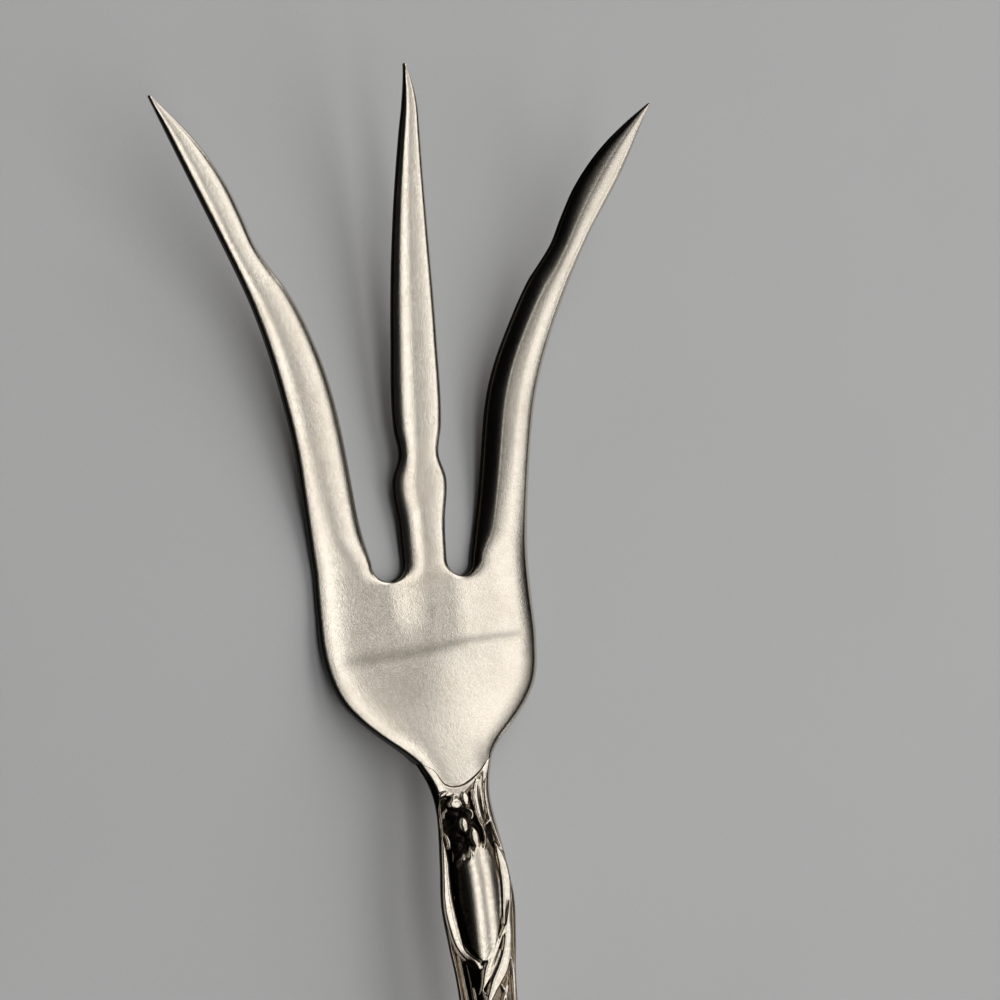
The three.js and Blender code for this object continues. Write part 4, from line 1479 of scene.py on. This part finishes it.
class Shader:
    """Builds one material's nodes."""

    # Numbers of a Mix node's two colour sockets
    MIX_FIRST = 6
    MIX_SECOND = 7

    def __init__(self, name):
        self.material = bpy.data.materials.new(name)
        self.material.use_nodes = True
        self.tree = self.material.node_tree
        self.tree.nodes.clear()

    def node(self, kind, options=None, inputs=None):
        """Adds a node: its settings first, then its sockets' values or links. Returns its outputs."""
        made = self.tree.nodes.new(kind)
        for name, value in (options or {}).items():
            setattr(made, name, value)
        for name, value in (inputs or {}).items():
            socket = made.inputs[name]
            if isinstance(value, Value):
                self.tree.links.new(value.socket, socket)
            else:
                socket.default_value = value
        return {output.name: Value(self, output) for output in made.outputs if output.enabled}

    def mix(self, factor, first, second):
        """Mixes two colours."""
        colours = {self.MIX_FIRST: self._rgba(first), self.MIX_SECOND: self._rgba(second)}
        return self.node("ShaderNodeMix", {"data_type": "RGBA"}, {"Factor": factor, **colours})["Result"]

    @staticmethod
    def _rgba(value):
        """A link as it is, or a colour with its alpha."""
        return value if isinstance(value, Value) else (*value, 1)

    def ramp(self, value, low, high):
        """0 below low, 1 above high, with a soft step between them."""
        inputs = {"Value": value, "From Min": low, "From Max": high}
        return self.node("ShaderNodeMapRange", {"interpolation_type": "SMOOTHSTEP"}, inputs)["Result"]

    def noise(self, place, scale, detail=3.0, roughness=0.55):
        """Cloudy noise over the given places."""
        inputs = {"Vector": place, "Scale": scale, "Detail": detail, "Roughness": roughness}
        return self.node("ShaderNodeTexNoise", {}, inputs)["Fac"]

    def stretched(self, place, scale):
        """Object places stretched along the axes, for grain that runs one way."""
        inputs = {0: place, 1: scale}
        return self.node("ShaderNodeVectorMath", {"operation": "MULTIPLY"}, inputs)["Vector"]

    def finish(self, constants, varying, height, distance, strength):
        """Adds the bump, the surface shader and the output, and returns the material."""
        bump = {"Height": height, "Distance": distance, "Strength": strength}
        normal = self.node("ShaderNodeBump", {}, bump)["Normal"]
        inputs = {**constants, **varying, "Normal": normal}
        surface = self.node("ShaderNodeBsdfPrincipled", {}, inputs)["BSDF"]
        self.node("ShaderNodeOutputMaterial", {}, {"Surface": surface})
        return self.material


def silver_finish(name):
    """Worn satin silver with fine grain, faint scratches and yellowed patches, black and brown where the
    marks lay tarnish and painted shade.
    """
    finish = settings().finish
    shader = Shader(name)
    place = shader.node("ShaderNodeTexCoord")["Object"]
    # The marks hold tarnish in the hollows with painted shade along the edges and on the relief, and
    # painted shade along the palm's crease and on the face
    hollow = shader.node("ShaderNodeAttribute", {"attribute_name": "hollow"})["Fac"]
    crease = shader.node("ShaderNodeAttribute", {"attribute_name": "crease"})["Fac"]
    patches = shader.ramp(shader.noise(place, 110.0, 4.0), 0.42, 0.68)
    stains = shader.noise(place, 650.0, 4.0, 0.65)
    grain = shader.noise(place, 6500.0, 2.0)
    soft_grain = shader.noise(place, 2200.0, 3.0)
    streaks = shader.noise(shader.stretched(place, (5200.0, 260.0, 900.0)), 1.0, 2.0)
    scratches = shader.ramp(streaks, 0.68, 0.8)
    darkening = hollow + 0.25 * (soft_grain - 0.5)
    tarnish_and_shade = shader.ramp(darkening, 0.45, 0.85)
    warmth = 0.35 * patches + 0.5 * shader.ramp(stains, 0.4, 0.75)
    metal = shader.mix(warmth, finish.silver, finish.silver_warm)
    # Painted shade from the crease mark, with a little dark grain
    metal = shader.mix(0.35 * crease + 0.14 * shader.ramp(grain, 0.3, 0.72), metal, finish.tarnish_and_shade)
    metal = shader.mix(0.8 * shader.ramp(darkening, 0.2, 0.55), metal, finish.patina)
    colour_out = shader.mix(0.985 * tarnish_and_shade, metal, finish.tarnish_and_shade)
    roughness = finish.gloss + 0.04 * patches + 0.06 * (soft_grain - 0.5)
    roughness = roughness + 0.2 * tarnish_and_shade + 0.05 * scratches
    return shader.finish(
        {"Metallic": 1.0},
        {"Base Color": colour_out, "Roughness": roughness},
        height=0.8 * grain + 0.8 * soft_grain - 0.08 * scratches,
        distance=0.000014,
        strength=1.0,
    )


def cement_finish():
    """Grainy cement, dark and dull."""
    finish = settings().finish
    shader = Shader("handle cement")
    place = shader.node("ShaderNodeTexCoord")["Object"]
    lumps = shader.noise(place, 900.0, 5.0, 0.7)
    grit = shader.noise(place, 4200.0, 2.0)
    darker = tuple(0.55 * channel for channel in finish.cement)
    shade = shader.mix(shader.ramp(lumps, 0.35, 0.7), finish.cement, darker)
    return shader.finish(
        {"Metallic": 0.0},
        {"Base Color": shade, "Roughness": 0.78 + 0.2 * grit},
        height=lumps + 0.5 * grit,
        distance=0.0001,
        strength=0.6,
    )


def floor_finish():
    """Matt pale floor with a barely visible grain."""
    finish = settings().finish
    shader = Shader("pale floor")
    place = shader.node("ShaderNodeTexCoord")["Object"]
    mottle = shader.noise(place, 9.0, 3.0)
    tooth = shader.noise(place, 2600.0, 2.0)
    darker = tuple(0.96 * channel for channel in finish.floor)
    shade = shader.mix(shader.ramp(mottle, 0.3, 0.7), finish.floor, darker)
    return shader.finish(
        {"Metallic": 0.0, "Specular IOR Level": 0.25},
        {"Base Color": shade, "Roughness": 0.82 + 0.1 * tooth},
        height=tooth,
        distance=0.00004,
        strength=0.4,
    )


class FORK_OT_head(bpy.types.Operator):
    """Build the struck head with its palm and three tines"""

    bl_idname = "fork.head"
    bl_label = "Head"

    def execute(self, context):
        sheets, marks = head_sheets()
        make_piece("struck_head", sheets, silver_finish("head silver"), ["fork_head"], marks)
        return {"FINISHED"}


class FORK_OT_handle(bpy.types.Operator):
    """Build the front and back shells of the hollow handle"""

    bl_idname = "fork.handle"
    bl_label = "Handle shells"

    def execute(self, context):
        silver = silver_finish("handle silver")
        for name, side, node in (
            ("front_shell", 1, "handle_front_shell"),
            ("back_shell", -1, "handle_back_shell"),
        ):
            sheets, marks = shell_sheets(side)
            make_piece(name, sheets, silver, [node], marks)
        return {"FINISHED"}


class FORK_OT_core(bpy.types.Operator):
    """Finish the cement core that beds the tang"""

    bl_idname = "fork.core"
    bl_label = "Cement core"

    def execute(self, context):
        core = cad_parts["handle_core"]
        core.data.materials.clear()
        core.data.materials.append(cement_finish())
        return {"FINISHED"}


def add_panel_light(name, place, aim, size, power):
    """A rectangular soft light."""
    data = bpy.data.lights.new(name, "AREA")
    data.shape = "RECTANGLE"
    data.size, data.size_y = size
    data.energy = power
    light = bpy.data.objects.new(name, data)
    light.location = place
    light.rotation_euler = (Vector(aim) - Vector(place)).to_track_quat("-Z", "Y").to_euler()
    bpy.context.scene.collection.objects.link(light)


class FORK_OT_stage(bpy.types.Operator):
    """Set the floor, the lights and the camera"""

    bl_idname = "fork.stage"
    bl_label = "Stage"

    FLOOR_HALF = 1.5
    FLOOR_LEVEL = -0.00002
    DARK_ROOM = (0.009, 0.009, 0.01, 1)
    TOP_AIM = (0, 0.20, 0)
    SIDE_AIM = (0, 0.05, 0)
    # Name, place, aim, size and power of each light
    LIGHTS = (
        ("overhead panel", (0.061, 0.20, 0.85), TOP_AIM, (2.2, 0.24), 2.5),
        ("feather panel", (-0.13, 0.20, 0.85), TOP_AIM, (2.2, 0.14), 0.4),
        ("side panel", (0.559, 0.20, 0.805), TOP_AIM, (2.2, 0.39), 3.25),
        ("ceiling panel", (0.52, 0.20, 1.05), TOP_AIM, (2.4, 1.15), 1.75),
        ("back panel", (1.1, 1.35, 0.6), SIDE_AIM, (1.6, 1.1), 8.0),
        ("front panel", (1.1, -1.05, 0.55), SIDE_AIM, (1.6, 1.1), 8.0),
    )
    CAMERA_PLACE = (-0.074581, 0.037418, 0.207007)
    CAMERA_RIGHT = (0.92182, -0.10018, 0.37446)
    CAMERA_UP = (0.06737, 0.99273, 0.09975)
    CAMERA_BACK = (-0.38173, -0.06672, 0.92186)
    FIELD = math.radians(30)

    def execute(self, context):
        scene = context.scene
        scene.view_settings.view_transform = "Standard"
        self.add_floor(scene)
        for light in self.LIGHTS:
            add_panel_light(*light)
        world = bpy.data.worlds.new("studio")
        world.use_nodes = True
        background = world.node_tree.nodes["Background"]
        background.inputs["Color"].default_value = self.DARK_ROOM
        background.inputs["Strength"].default_value = 1.0
        scene.world = world
        self.add_camera(scene)
        return {"FINISHED"}

    def add_floor(self, scene):
        """A square floor just under the fork."""
        half, level = self.FLOOR_HALF, self.FLOOR_LEVEL
        corners = [(-half, -half, level), (half, -half, level), (half, half, level), (-half, half, level)]
        mesh = bpy.data.meshes.new("floor")
        mesh.from_pydata(corners, [], [(0, 1, 2, 3)])
        mesh.materials.append(floor_finish())
        floor = bpy.data.objects.new("floor", mesh)
        scene.collection.objects.link(floor)

    def add_camera(self, scene):
        """A camera over the head of the fork, a little to its left."""
        data = bpy.data.cameras.new("camera")
        data.sensor_width = 36
        data.lens = data.sensor_width / 2 / math.tan(self.FIELD / 2)
        data.clip_start, data.clip_end = 0.01, 10
        camera = bpy.data.objects.new("camera", data)
        axes = Matrix((self.CAMERA_RIGHT, self.CAMERA_UP, self.CAMERA_BACK)).transposed()
        camera.matrix_world = Matrix.Translation(self.CAMERA_PLACE) @ axes.to_4x4()
        scene.collection.objects.link(camera)
        scene.camera = camera


class FORK_PT_panel(bpy.types.Panel):
    """Settings and build steps of the fork"""

    bl_idname = "FORK_PT_panel"
    bl_label = "Serving Fork"
    bl_space_type = "VIEW_3D"
    bl_region_type = "UI"
    bl_category = "Fork"

    def draw(self, context):
        for operator in OPERATORS:
            self.layout.operator(operator.bl_idname)
        for group in (settings().head, settings().handle, settings().finish):
            box = self.layout.box()
            for name in group.__annotations__:
                box.prop(group, name)


OPERATORS = (FORK_OT_head, FORK_OT_handle, FORK_OT_core, FORK_OT_stage)
CLASSES = (ForkHeadSizes, ForkHandleSizes, ForkFinish, ForkSettings, *OPERATORS, FORK_PT_panel)


def register():
    """Adds the settings, the operators and the panel."""
    for cls in CLASSES:
        bpy.utils.register_class(cls)
    bpy.types.Scene.fork_settings = PointerProperty(type=ForkSettings)


def unregister():
    """Takes away what register adds."""
    del bpy.types.Scene.fork_settings
    for cls in reversed(CLASSES):
        bpy.utils.unregister_class(cls)


def main():
    register()
    bpy.ops.fork.head()
    bpy.ops.fork.handle()
    bpy.ops.fork.core()
    bpy.ops.fork.stage()


if __name__ == "__main__":
    main()
